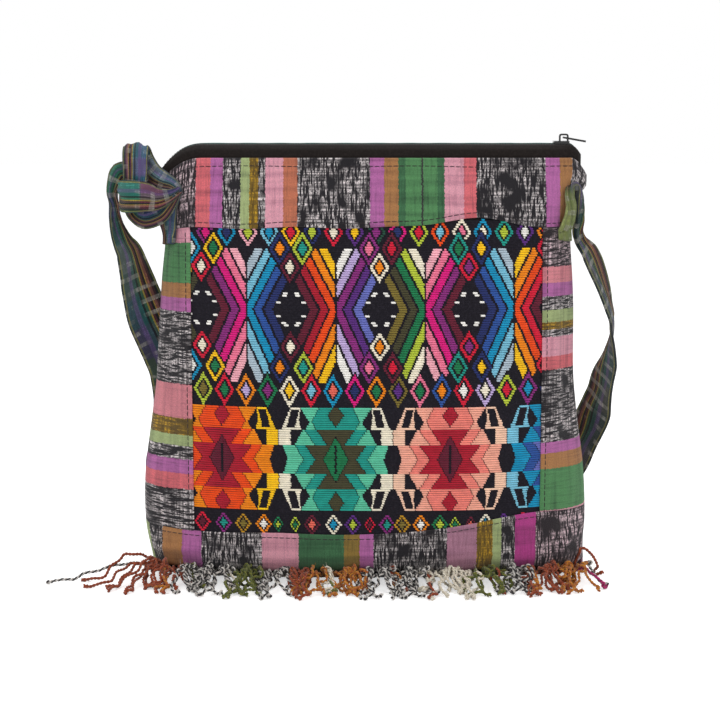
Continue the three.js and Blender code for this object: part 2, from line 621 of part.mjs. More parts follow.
// Slider: two plates with flanges that hold the teeth, a wedge that parts them, and a
// bail on top. It is drawn about its own middle, at the height of the chain.
const PLATE_BOTTOM = TOOTH_HEIGHT / 2 + SLIDER_PLAY;
const PLATE_TOP = PLATE_BOTTOM + SLIDER_PLATE;
const FLANGE_BOTTOM = TAPE_CLOTH / 2 + SLIDER_PLAY;
const extruded = (shape, depth) => new THREE.ExtrudeGeometry(shape, { depth, bevelEnabled: false, curveSegments: 4 });
function plateShape() {
  const [back, front] = [-SLIDER_LENGTH / 2, SLIDER_LENGTH / 2];
  return new THREE.Shape()
    .moveTo(back + 1, -SLIDER_NARROW)
    .lineTo(0, -SLIDER_NARROW)
    .quadraticCurveTo(front * 0.6, -SLIDER_WIDE, front - 1, -SLIDER_WIDE)
    .quadraticCurveTo(front, -SLIDER_WIDE, front, -SLIDER_WIDE + 1.2)
    .lineTo(front, SLIDER_WIDE - 1.2)
    .quadraticCurveTo(front, SLIDER_WIDE, front - 1, SLIDER_WIDE)
    .quadraticCurveTo(front * 0.6, SLIDER_WIDE, 0, SLIDER_NARROW)
    .lineTo(back + 1, SLIDER_NARROW)
    .quadraticCurveTo(back, SLIDER_NARROW, back, SLIDER_NARROW - 1)
    .lineTo(back, -SLIDER_NARROW + 1)
    .quadraticCurveTo(back, -SLIDER_NARROW, back + 1, -SLIDER_NARROW);
}
function channelShape() {
  const half = (x) => (x < 0 ? SLIDER_NARROW : SLIDER_WIDE) - SLIDER_FLANGE;
  const reach = SLIDER_LENGTH;
  return new THREE.Shape()
    .moveTo(-reach, -half(-1))
    .lineTo(0, -half(-1))
    .lineTo(SLIDER_LENGTH / 4, -half(1))
    .lineTo(reach, -half(1))
    .lineTo(reach, half(1))
    .lineTo(SLIDER_LENGTH / 4, half(1))
    .lineTo(0, half(-1))
    .lineTo(-reach, half(-1));
}
function halfBody(upper) {
  const shell = solidOf(extruded(plateShape(), PLATE_TOP - FLANGE_BOTTOM).translate(0, 0, FLANGE_BOTTOM));
  const channel = solidOf(extruded(channelShape(), PLATE_BOTTOM).translate(0, 0, 0));
  const body = shell.subtract(channel);
  return upper ? body : body.mirror([0, 0, 1]);
}
const WEDGE_START = SLIDER_LENGTH / 2 - WEDGE_LENGTH - 0.8;
const wedge = extruded(
  new THREE.Shape()
    .moveTo(WEDGE_START, 0)
    .lineTo(WEDGE_START + WEDGE_LENGTH / 2, -WEDGE_HALF_WIDTH)
    .lineTo(WEDGE_START + WEDGE_LENGTH, -WEDGE_HALF_WIDTH)
    .lineTo(WEDGE_START + WEDGE_LENGTH, WEDGE_HALF_WIDTH)
    .lineTo(WEDGE_START + WEDGE_LENGTH / 2, WEDGE_HALF_WIDTH),
  2 * PLATE_BOTTOM + SLIDER_PLATE,
).translate(0, 0, -PLATE_BOTTOM - SLIDER_PLATE / 2);

const BAIL_TOP = PIN_RISE + TAB_THICK / 2 + PIN_PLAY;
const bailOuter = BAIL_INNER + BAIL_BAR;
const bail = extruded(
  new THREE.Shape()
    .moveTo(-bailOuter, -SLIDER_PLATE / 2)
    .lineTo(-BAIL_INNER, -SLIDER_PLATE / 2)
    .lineTo(-BAIL_INNER, BAIL_TOP - 0.5)
    .quadraticCurveTo(-BAIL_INNER, BAIL_TOP, -BAIL_INNER + 0.6, BAIL_TOP)
    .lineTo(BAIL_INNER - 0.6, BAIL_TOP)
    .quadraticCurveTo(BAIL_INNER, BAIL_TOP, BAIL_INNER, BAIL_TOP - 0.5)
    .lineTo(BAIL_INNER, -SLIDER_PLATE / 2)
    .lineTo(bailOuter, -SLIDER_PLATE / 2)
    .lineTo(bailOuter, BAIL_TOP - 0.6)
    .quadraticCurveTo(bailOuter, BAIL_TOP + BAIL_BAR, BAIL_INNER - 0.6, BAIL_TOP + BAIL_BAR)
    .lineTo(-BAIL_INNER + 0.6, BAIL_TOP + BAIL_BAR)
    .quadraticCurveTo(-bailOuter, BAIL_TOP + BAIL_BAR, -bailOuter, BAIL_TOP - 0.6),
  BAIL_WIDTH,
)
  .rotateX(Math.PI / 2)
  .translate(BAIL_AT, BAIL_WIDTH / 2, PLATE_TOP);

const slider = new THREE.Group();
slider.position.set(SLIDER_REST, 0, CHAIN_MIDDLE);
purse.add(slider);
const sliderSolid = [halfBody(true), halfBody(false), solidOf(wedge), solidOf(bail)].reduce((a, b) => a.add(b));
add("slider_body", geometryFrom(sliderSolid), ENAMEL, slider);

// Pull tab: a flat tongue with a slot at its eye, round the bail. It turns about the bar
// behind the slot.
function tabShape() {
  const [eye, half] = [TAB_EYE_WIDTH / 2, TAB_WIDTH / 2];
  const shape = new THREE.Shape()
    .moveTo(-TAB_THICK / 2, -eye + 0.8)
    .quadraticCurveTo(-TAB_THICK / 2, -eye, 0.5, -eye)
    .lineTo(TAB_SLOT, -eye)
    .quadraticCurveTo(TAB_SLOT + 1, -eye, TAB_SLOT + 1.5, -half)
    .lineTo(TAB_LENGTH - 1.5, -half)
    .quadraticCurveTo(TAB_LENGTH, -half, TAB_LENGTH, -half + 1.5)
    .lineTo(TAB_LENGTH, half - 1.5)
    .quadraticCurveTo(TAB_LENGTH, half, TAB_LENGTH - 1.5, half)
    .lineTo(TAB_SLOT + 1.5, half)
    .quadraticCurveTo(TAB_SLOT + 1, eye, TAB_SLOT, eye)
    .lineTo(0.5, eye)
    .quadraticCurveTo(-TAB_THICK / 2, eye, -TAB_THICK / 2, eye - 0.8);
  const slot = BAIL_WIDTH / 2 + SLIDER_PLAY;
  shape.holes.push(
    new THREE.Path()
      .moveTo(TAB_THICK / 2, -slot)
      .lineTo(TAB_THICK / 2, slot)
      .lineTo(TAB_SLOT, slot)
      .lineTo(TAB_SLOT, -slot),
  );
  return shape;
}
const pull = new THREE.Group();
pull.position.set(BAIL_AT, 0, PLATE_TOP + PIN_RISE);
pull.rotation.y = THREE.MathUtils.degToRad(TAB_DROOP);
slider.add(pull);
add("pull_tab", extruded(tabShape(), TAB_THICK).translate(0, 0, -TAB_THICK / 2), ENAMEL, pull);

// Strap. Each station is a place, the turn of the strap's width about the vertical (0
// faces front, 90 is edge on), its width and its thickness.
const place = (x, y, z, turn, width, thick) => ({ at: new THREE.Vector3(x, y, z), turn, width, thick });
const full = (x, y, z, turn) => place(x, y, z, turn, STRAP_WIDTH, STRAP_CLOTH);
const knotted = (x, y, z, turn = 90) => place(x, y, z, turn, KNOT_WIDTH, KNOT_THICK);
const GATHER_THICK = 3.6;
const SEWN_EASE = 0.9; // between a sewn end and the bag
function sewn(side, column, z) {
  const low = [-HALF_WIDTH, 0];
  const high = [HALF_WIDTH, BAG_HEIGHT];
  const out = normalAt(frontAt, side * column, z, low, high, 1);
  const at = frontAt(side * column, z).addScaledVector(out, SKIN + SEWN_EASE + GATHER_THICK / 2);
  const turn = THREE.MathUtils.radToDeg(Math.atan2(out.y, out.x)) + 90;
  return { at, turn, width: STRAP_GATHER, thick: GATHER_THICK };
}
const seamX = HALF_WIDTH;
const pastSeam = (side, beyond, y, z, turn, width = STRAP_WIDTH, thick = STRAP_CLOTH) =>
  place(side * (seamX + beyond), y, z, turn, width, thick);
const SEWN_COLUMN = 0.94 * HALF_WIDTH;
const layer = (k) => STRAP_CLOTH / 2 + k * (STRAP_CLOTH + 0.4);
const foldTurn = (x, side, k) =>
  steps(-90, 90, 4).map((degrees) => {
    const angle = THREE.MathUtils.degToRad(degrees);
    const radius = (layer(1) - layer(0)) / 2;
    return full(x + side * radius * Math.cos(angle), STRAP_BACK, layer(k) + radius * (1 + Math.sin(angle)), 90);
  });

const H = BAG_HEIGHT;
const tailAndTopLoop = [
  sewn(-1, SEWN_COLUMN, H - 58),
  sewn(-1, SEWN_COLUMN, H - 48),
  knotted(-(seamX - 7), -17, H - 36, -40),
  knotted(-(seamX - 6), -18, H - 18, -60),
  knotted(-(seamX - 3), -13, H - 3),
  knotted(-(seamX + 2), -7, H + 0),
  knotted(-(seamX + 8), -4, H - 9),
  knotted(-(seamX + 6), -1, H - 22),
  knotted(-(seamX + 1), 2, H - 33),
];
const lowerLoop = [
  knotted(-(seamX + 1), 2, H - 33),
  knotted(-(seamX - 1), 3, H - 43),
  knotted(-(seamX + 3), 0, H - 51),
  knotted(-(seamX + 10), -4, H - 49),
  knotted(-(seamX + 13), -8, H - 39),
  knotted(-(seamX + 8), -13, H - 30),
  knotted(-(seamX - 1), -15, H - 27),
];
const throughLoop = [
  knotted(-(seamX - 1), -15, H - 27),
  knotted(-(seamX + 6), -12, H - 22),
  knotted(-(seamX + 14), -8, H - 19),
];
const leftFall = [
  knotted(-(seamX + 14), -8, H - 19),
  pastSeam(-1, 21, -5, H - 22, 90, 16, 4),
  pastSeam(-1, 24, -2, H - 34, 80, 22, 2.6),
  pastSeam(-1, 23, 1, H - 50, 55),
  pastSeam(-1, 18, 4, H - 68, 28),
  pastSeam(-1, 13, 8, H - 86, 12),
  pastSeam(-1, 7, 13, H - 106, 6),
  pastSeam(-1, 2, 19, H - 126, 8),
  pastSeam(-1, -3, 26, H - 146, 14),
  pastSeam(-1, -5, 33, H - 170, 25),
  pastSeam(-1, -6, 42, H - 195, 45),
  pastSeam(-1, -7, 49, 30, 75),
  pastSeam(-1, -10, STRAP_BACK, 14, 90),
  pastSeam(-1, -17, STRAP_BACK, 4, 90),
  full(-(FOLD_HALF_LENGTH - 4), STRAP_BACK, layer(0), 90),
  full(0, STRAP_BACK, layer(0), 90),
  ...foldTurn(FOLD_HALF_LENGTH, 1, 0),
  full(0, STRAP_BACK, layer(1), 90),
  ...foldTurn(-FOLD_HALF_LENGTH, -1, 1),
  full(0, STRAP_BACK, layer(2), 90),
];
const rightRise = [
  full(0, STRAP_BACK, layer(2), 90),
  full(FOLD_HALF_LENGTH, STRAP_BACK, layer(2), 90),
  pastSeam(1, -20, STRAP_BACK, 11, 90),
  pastSeam(1, -10, STRAP_BACK, 22, 92),
  pastSeam(1, -4, 48, 40, 105),
  pastSeam(1, 0, 42, 60, 122),
  pastSeam(1, 4, 35, 80, 126),
  pastSeam(1, 10, 28, 98, 118),
  pastSeam(1, 15, 21, H - 133, 106),
  pastSeam(1, 17, 16, H - 114, 92),
  pastSeam(1, 17, 12, H - 100, 86),
  pastSeam(1, 14, 9, H - 86, 76),
  pastSeam(1, 8, 6, H - 70, 68),
  pastSeam(1, 2, 3, H - 56, 74, 22),
  pastSeam(1, -3, 0, H - 42, 86, 18, 2.6),
  pastSeam(1, 1, -4, H - 28, 80, 13, 3.4),
];
const rightFold = [
  pastSeam(1, 1, -4, H - 28, 80, 13, 3.4),
  pastSeam(1, 1, -9, H - 17, 60, STRAP_GATHER, GATHER_THICK),
  pastSeam(1, -5, -15, H - 13, 30, STRAP_GATHER, GATHER_THICK),
  pastSeam(1, -11, -17, H - 20, 20, STRAP_GATHER, GATHER_THICK),
  pastSeam(1, -14, -16, H - 34, 25, STRAP_GATHER, GATHER_THICK),
  sewn(1, SEWN_COLUMN * 0.98, H - 46),
  sewn(1, SEWN_COLUMN * 0.98, H - 56),
];

// A run of strap: a flat six-sided section at each station, square to the way it runs.
function ribbon(stations) {
  const sections = stations.map(({ at, turn, width, thick }, i) => {
    const before = stations[Math.max(0, i - 1)].at;
    const after = stations[Math.min(stations.length - 1, i + 1)].at;
    const along = after.clone().sub(before).normalize();
    const angle = THREE.MathUtils.degToRad(turn);
    const across = new THREE.Vector3(Math.cos(angle), Math.sin(angle), 0);
    across.addScaledVector(along, -across.dot(along)).normalize();
    const through = along.clone().cross(across);
    const corner = (w, t) => at.clone().addScaledVector(across, w * width).addScaledVector(through, t * thick);
    return [
      corner(0.5, 0),
      corner(0.4, 0.5),
      corner(-0.4, 0.5),
      corner(-0.5, 0),
      corner(-0.4, -0.5),
      corner(0.4, -0.5),
    ];
  });
  return loft(sections, true);
}
const runs = [tailAndTopLoop, lowerLoop, throughLoop, leftFall, rightRise, rightFold];
add("strap", joined(runs.map(ribbon)), STRAP);

// Fringe: tufts of twisted yarn along the lower seam. Each strand arches out of the seam
// and comes down on the floor. wander gives each strand its own bend, always the same.
const wander = (n) => Math.sin(n * 12.9898) * Math.cos(n * 4.1414);
const SIDES = 4;
function strand(start, reach, sideways, crown, seed) {
  const root = onBagFloor(start, BASE_START).y - LAYER_GAP;
  const at = (across, out, up) =>
    new THREE.Vector3(start + across, root - out, YARN_RADIUS + up);
  const curve = new THREE.CatmullRomCurve3([
    at(0, 0, 0.2 * YARN_RADIUS),
    at(0.15 * sideways, 0.25 * reach + 4, 0.5 * crown),
    at(0.5 * sideways + 2 * wander(seed), 0.6 * reach, crown),
    at(0.85 * sideways, 0.9 * reach, 0.4 * crown),
    at(sideways, reach, 0.05 * YARN_RADIUS),
  ]);
  const circle = new THREE.Shape();
  steps(0, 2 * Math.PI, SIDES)
    .slice(1)
    .forEach((a, i) => circle[i ? "lineTo" : "moveTo"](YARN_RADIUS * Math.cos(a), YARN_RADIUS * Math.sin(a)));
  return new THREE.ExtrudeGeometry(circle, { steps: 5, extrudePath: curve, bevelEnabled: false });
}

const [RUST, SALT, OLIVE, MUSTARD, CREAM] = [0x9c4a24, 0x8f8a86, 0x6d6a2a, 0xb8792c, 0xe4dccb].map((c) => finish(c));
const TUFT_YARNS = [
  [RUST, SALT, SALT, OLIVE],
  [SALT, RUST, MUSTARD, MUSTARD],
  [RUST, SALT, CREAM, CREAM],
  [OLIVE, SALT, RUST, MUSTARD],
].flat();
// Strands that lie out to the side at the two ends: [sideways, reach, crown].
const STRAYS = {
  0: [
    [-72, 10, 6],
    [-42, 24, 7],
  ],
  [TUFTS - 1]: [[19, 8, 13]],
};
const tuftPitch = (2 * (HALF_WIDTH - FRINGE_MARGIN)) / (TUFTS - 1);
for (let i = 0; i < TUFTS; i++) {
  const middle = -HALF_WIDTH + FRINGE_MARGIN + i * tuftPitch;
  const pair = [-1, 1].map((side) => {
    const reach = FRINGE_REACH * (1 + 0.22 * wander(3 * i + side));
    const crown = FRINGE_CROWN * (1 + 0.3 * wander(5 * i + side));
    return strand(middle + side * YARN_RADIUS * 0.7, reach, (side * TUFT_SPREAD) / 2.4, crown, i + side);
  });
  const strays = (STRAYS[i] ?? []).map(([sideways, reach, crown]) => strand(middle, reach, sideways, crown, i));
  const name = `fringe_tuft_${String(i + 1).padStart(2, "0")}`;
  add(name, joined([...pair, ...strays]), TUFT_YARNS[i % TUFT_YARNS.length]);
}

export default purse;
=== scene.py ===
"""Dresses the fringe crossbody purse: cloth, brocade yarn, topstitching, zipper, strap and fringe.

Sizes are in millimetres on the bag's own frame (+X along its width, front towards -Y, +Z up)
and become metres where a mesh is made.
"""

import logging
import math
from dataclasses import dataclass
from enum import Enum
from typing import Callable

import bpy
import numpy as np
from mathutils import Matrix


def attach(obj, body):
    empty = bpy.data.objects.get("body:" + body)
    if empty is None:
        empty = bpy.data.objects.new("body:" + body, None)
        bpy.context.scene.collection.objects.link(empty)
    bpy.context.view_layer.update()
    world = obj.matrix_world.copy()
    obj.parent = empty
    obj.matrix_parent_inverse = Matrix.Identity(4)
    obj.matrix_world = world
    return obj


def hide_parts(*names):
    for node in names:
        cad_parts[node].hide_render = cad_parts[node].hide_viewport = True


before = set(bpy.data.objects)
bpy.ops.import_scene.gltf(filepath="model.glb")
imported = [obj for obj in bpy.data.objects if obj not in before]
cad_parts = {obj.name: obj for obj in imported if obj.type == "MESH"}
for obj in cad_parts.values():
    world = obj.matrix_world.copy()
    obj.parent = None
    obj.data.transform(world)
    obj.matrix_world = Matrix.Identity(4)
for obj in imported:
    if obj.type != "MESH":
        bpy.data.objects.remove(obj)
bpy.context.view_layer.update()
LOG = logging.getLogger("purse")
MM = 0.001
Surface = Callable[[np.ndarray, np.ndarray], tuple[np.ndarray, np.ndarray]]
Mesh = tuple[np.ndarray, list[np.ndarray]]


def rgb(hexadecimal: int) -> tuple[float, float, float, float]:
    """Turns a colour written as 0xRRGGBB into the linear values that a shader takes."""
    parts = [(hexadecimal >> shift & 255) / 255 for shift in (16, 8, 0)]
    linear = [p / 12.92 if p <= 0.04045 else ((p + 0.055) / 1.055) ** 2.4 for p in parts]
    return linear[0], linear[1], linear[2], 1.0


def smoothstep(low: float, high: float, x: np.ndarray) -> np.ndarray:
    """Rises from 0 at low to 1 at high along a cubic that is level at both ends."""
    t = np.clip((np.asarray(x, float) - low) / (high - low), 0, 1)
    return t * t * (3 - 2 * t)


def unit(vectors: np.ndarray) -> np.ndarray:
    """Scales each vector to length 1."""
    return vectors / np.maximum(np.linalg.norm(vectors, axis=-1, keepdims=True), 1e-12)


def wander(seed: np.ndarray | float) -> np.ndarray:
    """A number between -1 and 1 that looks random and is the same for the same seed."""
    return np.sin(np.asarray(seed) * 12.9898) * np.cos(np.asarray(seed) * 4.1414)


@dataclass(frozen=True)
class SmoothLine:
    """A cubic line through stations (place, value) whose slopes are the harmonic means of
    the rises beside each station, and level at turning points, so that it never overshoots."""

    places: np.ndarray
    values: np.ndarray

    def __call__(self, x: np.ndarray) -> np.ndarray:
        """The line's value at each x, held level beyond its ends."""
        at, value = np.asarray(self.places, float), np.asarray(self.values, float)
        rise = np.diff(value) / np.diff(at)
        before, after = rise[:-1], rise[1:]
        turning = before * after <= 0
        slopes = np.zeros(len(at))
        slopes[1:-1] = np.where(turning, 0, 2 * before * after / np.where(turning, 1, before + after))
        x = np.clip(x, at[0], at[-1])
        k = np.clip(np.searchsorted(at, x, side="right") - 1, 0, len(at) - 2)
        h = at[k + 1] - at[k]
        t = (x - at[k]) / h
        start = (1 + 2 * t) * (1 - t) ** 2 * value[k] + t * (1 - t) ** 2 * h * slopes[k]
        return start + t * t * (3 - 2 * t) * value[k + 1] + t * t * (t - 1) * h * slopes[k + 1]


def grid_faces(rows: int, columns: int, ring: bool = False, base: int = 0) -> np.ndarray:
    """Quads over a grid of points that is stored row by row.

    Args:
        rows: number of rows of points.
        columns: number of points in a row.
        ring: whether each row closes on itself.
        base: index of the grid's first point.

    Returns:
        An array of quads that face along column x row.
    """
    j, i = np.meshgrid(np.arange(rows - 1), np.arange(columns if ring else columns - 1), indexing="ij")
    after = (i + 1) % columns
    quads = [j * columns + i, j * columns + after, (j + 1) * columns + after, (j + 1) * columns + i]
    return np.stack(quads, -1).reshape(-1, 4) + base


def make_piece(
    name: str,
    points: np.ndarray,
    faces: list[np.ndarray],
    material: bpy.types.Material,
    uv: np.ndarray | None = None,
    tint: np.ndarray | None = None,
) -> bpy.types.Object:
    """Puts a surface into a mesh object at the origin. Points below the floor are lifted onto it.

    Args:
        name: name of the piece.
        points: places in millimetres, one row each.
        faces: arrays of triangles or quads.
        material: finish of the piece.
        uv: a place on the flat cloth for each point, in metres.
        tint: a colour for each point, kept as the attribute "tint".

    Returns:
        The new object.
    """
    points = np.maximum(points, [-math.inf, -math.inf, 0])
    corners = np.concatenate([f.ravel() for f in faces])
    sizes = np.concatenate([np.full(len(f), f.shape[1]) for f in faces])
    starts = np.concatenate([[0], np.cumsum(sizes)[:-1]])
    mesh = bpy.data.meshes.new(name)
    mesh.vertices.add(len(points))
    mesh.vertices.foreach_set("co", (points * MM).astype(np.float32).ravel())
    mesh.loops.add(len(corners))
    mesh.loops.foreach_set("vertex_index", corners.astype(np.int32))
    mesh.polygons.add(len(sizes))
    mesh.polygons.foreach_set("loop_start", starts.astype(np.int32))
    mesh.update(calc_edges=True)
    mesh.validate()
    mesh.shade_smooth()
    if uv is not None:
        layer = mesh.uv_layers.new(name="cloth")
        layer.data.foreach_set("uv", uv[corners].astype(np.float32).ravel())
    if tint is not None:
        layer = mesh.color_attributes.new("tint", "FLOAT_COLOR", "POINT")
        layer.data.foreach_set("color", tint.astype(np.float32).ravel())
    mesh.materials.append(material)
    piece = bpy.data.objects.new(name, mesh)
    bpy.context.scene.collection.objects.link(piece)
    return piece


def tubes(paths: np.ndarray, radii: np.ndarray, sides: int, level: np.ndarray) -> Mesh:
    """Round threads along paths: a circle square to the path at each of its points, and a
    pole at each end.

    Args:
        paths: places of shape (threads, stations, 3).
        radii: radius at each station, of a shape that broadcasts to (threads, stations).
        sides: number of sides of a thread.
        level: a direction that no path follows, to measure the turn of the circle from.

    Returns:
        The points and the faces.
    """
    count, stations = paths.shape[:2]
    along = unit(np.gradient(paths, axis=1))
    across = unit(np.cross(along, np.broadcast_to(level, paths.shape)))
    up = np.cross(across, along)
    angle = np.linspace(0, 2 * math.pi, sides, endpoint=False)[:, None]
    radii = np.broadcast_to(radii, (count, stations))[:, :, None, None]
    ring = across[:, :, None] * np.cos(angle) + up[:, :, None] * np.sin(angle)
    points = (paths[:, :, None] + radii * ring).reshape(count, -1, 3)
    ends = np.stack([paths[:, 0] - along[:, 0] * radii[:, 0, 0], paths[:, -1] + along[:, -1] * radii[:, -1, 0]], 1)
    points = np.concatenate([points, ends], 1)
    size = stations * sides + 2
    one = grid_faces(stations, sides, ring=True)[:, ::-1]
    i = np.arange(sides)
    last = (stations - 1) * sides
    first_end = np.stack([np.full(sides, size - 2), i, (i + 1) % sides], -1)
    last_end = np.stack([np.full(sides, size - 1), last + (i + 1) % sides, last + i], -1)
    base = (np.arange(count) * size)[:, None, None]
    faces = [(one[None] + base).reshape(-1, 4), (np.concatenate([first_end, last_end])[None] + base).reshape(-1, 3)]
    return points.reshape(-1, 3), faces


def joined(*parts: Mesh) -> Mesh:
    """Puts surfaces together into one set of points and faces."""
    starts = np.cumsum([0, *(len(points) for points, _ in parts)])
    faces = [group + start for (_, own), start in zip(parts, starts) for group in own]
    return np.concatenate([points for points, _ in parts]), faces


class Body(Enum):
    """The moving bodies that pieces ride on."""

    BAG = "bag"
    SLIDER = "slider"
    PULL = "pull"


def fit(piece: bpy.types.Object, slot: str, *nodes: str, body: Body = Body.BAG) -> bpy.types.Object:
    """Lets a piece ride on a body and hides the CAD nodes that it stands for."""
    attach(piece, body.value)
    if nodes:
        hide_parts(*nodes)
    LOG.info("%s: %d points", piece.name, len(piece.data.vertices))
    return piece


# Finishes.


class Sketch:
    """A node tree that is written as nested calls."""

    def __init__(self, tree: bpy.types.NodeTree) -> None:
        """Keeps the tree that nodes are added to."""
        self.tree = tree

    def node(self, kind: str, inputs: dict | None = None, **settings: object) -> bpy.types.Node:
        """Adds a node.

        Args:
            kind: Blender's type name without ShaderNode.
            inputs: value or output socket for each input, by name or index.
            settings: the node's own settings.

        Returns:
            The node.
        """
        made = self.tree.nodes.new(f"ShaderNode{kind}")
        for key, value in settings.items():
            setattr(made, key, value)
        for key, value in (inputs or {}).items():
            self.feed(made.inputs[key], value)
        return made

    def feed(self, target: bpy.types.NodeSocket, value: object) -> None:
        """Links a socket to an input, or writes a constant into it."""
        if isinstance(value, bpy.types.NodeSocket):
            self.tree.links.new(value, target)
        else:
            target.default_value = value

    def math(self, operation: str, *values: object) -> bpy.types.NodeSocket:
        """A Math node's output."""
        return self.node("Math", dict(enumerate(values)), operation=operation).outputs[0]

    def times(self, value: object, factor: object) -> bpy.types.NodeSocket:
        """The product of two values."""
        return self.math("MULTIPLY", value, factor)

    def grain(
        self, place: tuple, per_metre: tuple[float, float], seed: object, detail: float = 2
    ) -> bpy.types.NodeSocket:
        """Noise over a place (u, v) in metres, with so many grains in a metre each way."""
        u, v = (self.times(value, scale) for value, scale in zip(place, per_metre))
        return self.spread(u, v, seed, detail)

    def spread(self, u: object, v: object, seed: object, detail: float = 2) -> bpy.types.NodeSocket:
        """Noise over a place (u, v) that is already in units of its own grain."""
        place = self.node("CombineXYZ", {"X": u, "Y": v, "Z": seed}).outputs[0]
        return self.node("TexNoise", {"Vector": place, "Scale": 1.0, "Detail": detail}).outputs["Fac"]

    def window(self, value: object, low: float, high: float, start: float = 0, end: float = 1) -> bpy.types.NodeSocket:
        """Takes value from low..high to start..end, and holds it there beyond."""
        names = {"Value": value, "From Min": low, "From Max": high, "To Min": start, "To Max": end}
        return self.node("MapRange", names).outputs["Result"]

    def mix(self, share: object, a: object, b: object, kind: str = "MIX") -> bpy.types.NodeSocket:
        """Mixes colours a and b."""
        made = self.node("Mix", data_type="RGBA", blend_type=kind)
        for index, value in ((0, share), (6, a), (7, b)):
            self.feed(made.inputs[index], value)
        return made.outputs[2]

    def shaded(self, color: object, shade: object) -> bpy.types.NodeSocket:
        """A colour whose three parts are all multiplied by a value."""
        tone = self.node("CombineXYZ", {"X": shade, "Y": shade, "Z": shade}).outputs[0]
        return self.mix(1.0, color, tone, "MULTIPLY")

    def cloth_place(self) -> tuple[bpy.types.NodeSocket, bpy.types.NodeSocket]:
        """The place on the flat cloth in metres, across and along its stripes."""
        place = self.node("SeparateXYZ", {0: self.node("UVMap", uv_map="cloth").outputs[0]})
        return place.outputs[0], place.outputs[1]

    def stripe_ramp(self, place: object, stripes: list[tuple[float, tuple]]) -> bpy.types.Node:
        """A ramp with hard edges.

        Args:
            place: share of the way over all stripes.
            stripes: where each stripe starts on that way, and its colour with alpha.

        Returns:
            The ramp.
        """
        ramp = self.node("ValToRGB", {"Fac": place})
        ramp.color_ramp.interpolation = "CONSTANT"
        spots = ramp.color_ramp.elements
        for index, (start, color) in enumerate(stripes):
            spot = spots.new(start) if index else spots[0]
            spot.color = color
        spots.remove(spots[len(stripes)])
        return ramp


def new_group(name: str, inputs: dict[str, str], outputs: dict[str, str]) -> tuple[Sketch, dict, dict]:
    """Starts a shader node group.

    Args:
        name: name of the group.
        inputs: socket type of each input, by name.
        outputs: the same for the outputs.

    Returns:
        The sketch of the group's tree, the inner sockets of its inputs, and of its outputs.
    """
    tree = bpy.data.node_groups.new(name, "ShaderNodeTree")
    for label, kind in inputs.items():
        tree.interface.new_socket(label, in_out="INPUT", socket_type=f"NodeSocket{kind}")
    for label, kind in outputs.items():
        tree.interface.new_socket(label, in_out="OUTPUT", socket_type=f"NodeSocket{kind}")
    sketch = Sketch(tree)
    inside = sketch.tree.nodes.new("NodeGroupInput")
    outside = sketch.tree.nodes.new("NodeGroupOutput")
    return sketch, {k: inside.outputs[k] for k in inputs}, {k: outside.inputs[k] for k in outputs}


def ikat_weave_group() -> bpy.types.NodeTree:
    """Handwoven ikat: broken light streaks along the warp where the yarn was tied and dyed,
    blotches where the ties were close, and faint bands where the weft changes.

    Returns:
        The group, which gives the cloth's colour and the height of its threads.
    """
    found = bpy.data.node_groups.get("Ikat weave")
    if found:
        return found
    inputs = {"Across": "Float", "Along": "Float", "Light": "Color", "Dark": "Color", "Ikat": "Float", "Seed": "Float"}
    s, given, out = new_group("Ikat weave", inputs, {"Color": "Color", "Height": "Float"})
    across, along, seed = given["Across"], given["Along"], given["Seed"]
    place = across, along
    waver = s.window(s.grain(place, (60, 90), seed), 0, 1, -0.5, 0.5)
    threads = s.math("ADD", s.times(across, 1050), waver)
    streaks = s.window(s.spread(threads, s.times(along, 130), seed, 3), 0.47, 0.54)
    specks = s.window(s.grain(place, (1900, 800), seed), 0.36, 0.5)
    blotches = s.window(s.grain(place, (90, 75), seed), 0.36, 0.5)
    weft_rows = s.window(s.grain(place, (30, 950), seed), 0.4, 0.56, 1, 0.3)
    light_share = s.times(s.times(s.times(streaks, specks), blotches), weft_rows)
    ikat = s.mix(light_share, given["Dark"], given["Light"])
    bands = s.window(s.grain(place, (14, 260), seed, 3), 0.45, 0.75, 0, 0.6)
    fine = s.window(s.grain(place, (900, 60), seed, 3), 0.5, 0.7, 0, 0.35)
    plain = s.mix(s.math("ADD", bands, fine), given["Light"], given["Dark"])
    shade = s.window(s.grain(place, (2600, 1300), seed), 0.3, 0.7, 0.8, 1.12)
    s.feed(out["Color"], s.shaded(s.mix(given["Ikat"], plain, ikat), shade))
    warp = s.math("SINE", s.times(across, 2 * math.pi / (0.6 * MM)))
    weft = s.math("SINE", s.times(along, 2 * math.pi / (0.7 * MM)))
    threads_up = s.math("ADD", s.math("ABSOLUTE", warp), s.math("ABSOLUTE", weft))
    slubs = s.times(s.grain(place, (500, 90), seed), 2.5)
    s.feed(out["Height"], s.math("ADD", threads_up, slubs))
    return s.tree


def twisted_yarn_group() -> bpy.types.NodeTree:
    """Spun yarn: fibres that run round the thread, and small changes of its dye.

    Returns:
        The group, which takes the yarn's colour and gives it varied, with the fibres' height.
    """
    found = bpy.data.node_groups.get("Spun yarn")
    if found:
        return found
    s, given, out = new_group("Spun yarn", {"Dye": "Color"}, {"Color": "Color", "Height": "Float"})
    place = s.node("TexCoord").outputs["Object"]
    fibres = s.node("TexNoise", {"Vector": place, "Scale": 2600.0, "Detail": 2.0}).outputs["Fac"]
    lots = s.node("TexNoise", {"Vector": place, "Scale": 240.0, "Detail": 2.0}).outputs["Fac"]
    shade = s.times(s.window(fibres, 0.3, 0.7, 0.84, 1.1), s.window(lots, 0.3, 0.7, 0.9, 1.08))
    s.feed(out["Color"], s.shaded(given["Dye"], shade))
    s.feed(out["Height"], fibres)
    return s.tree


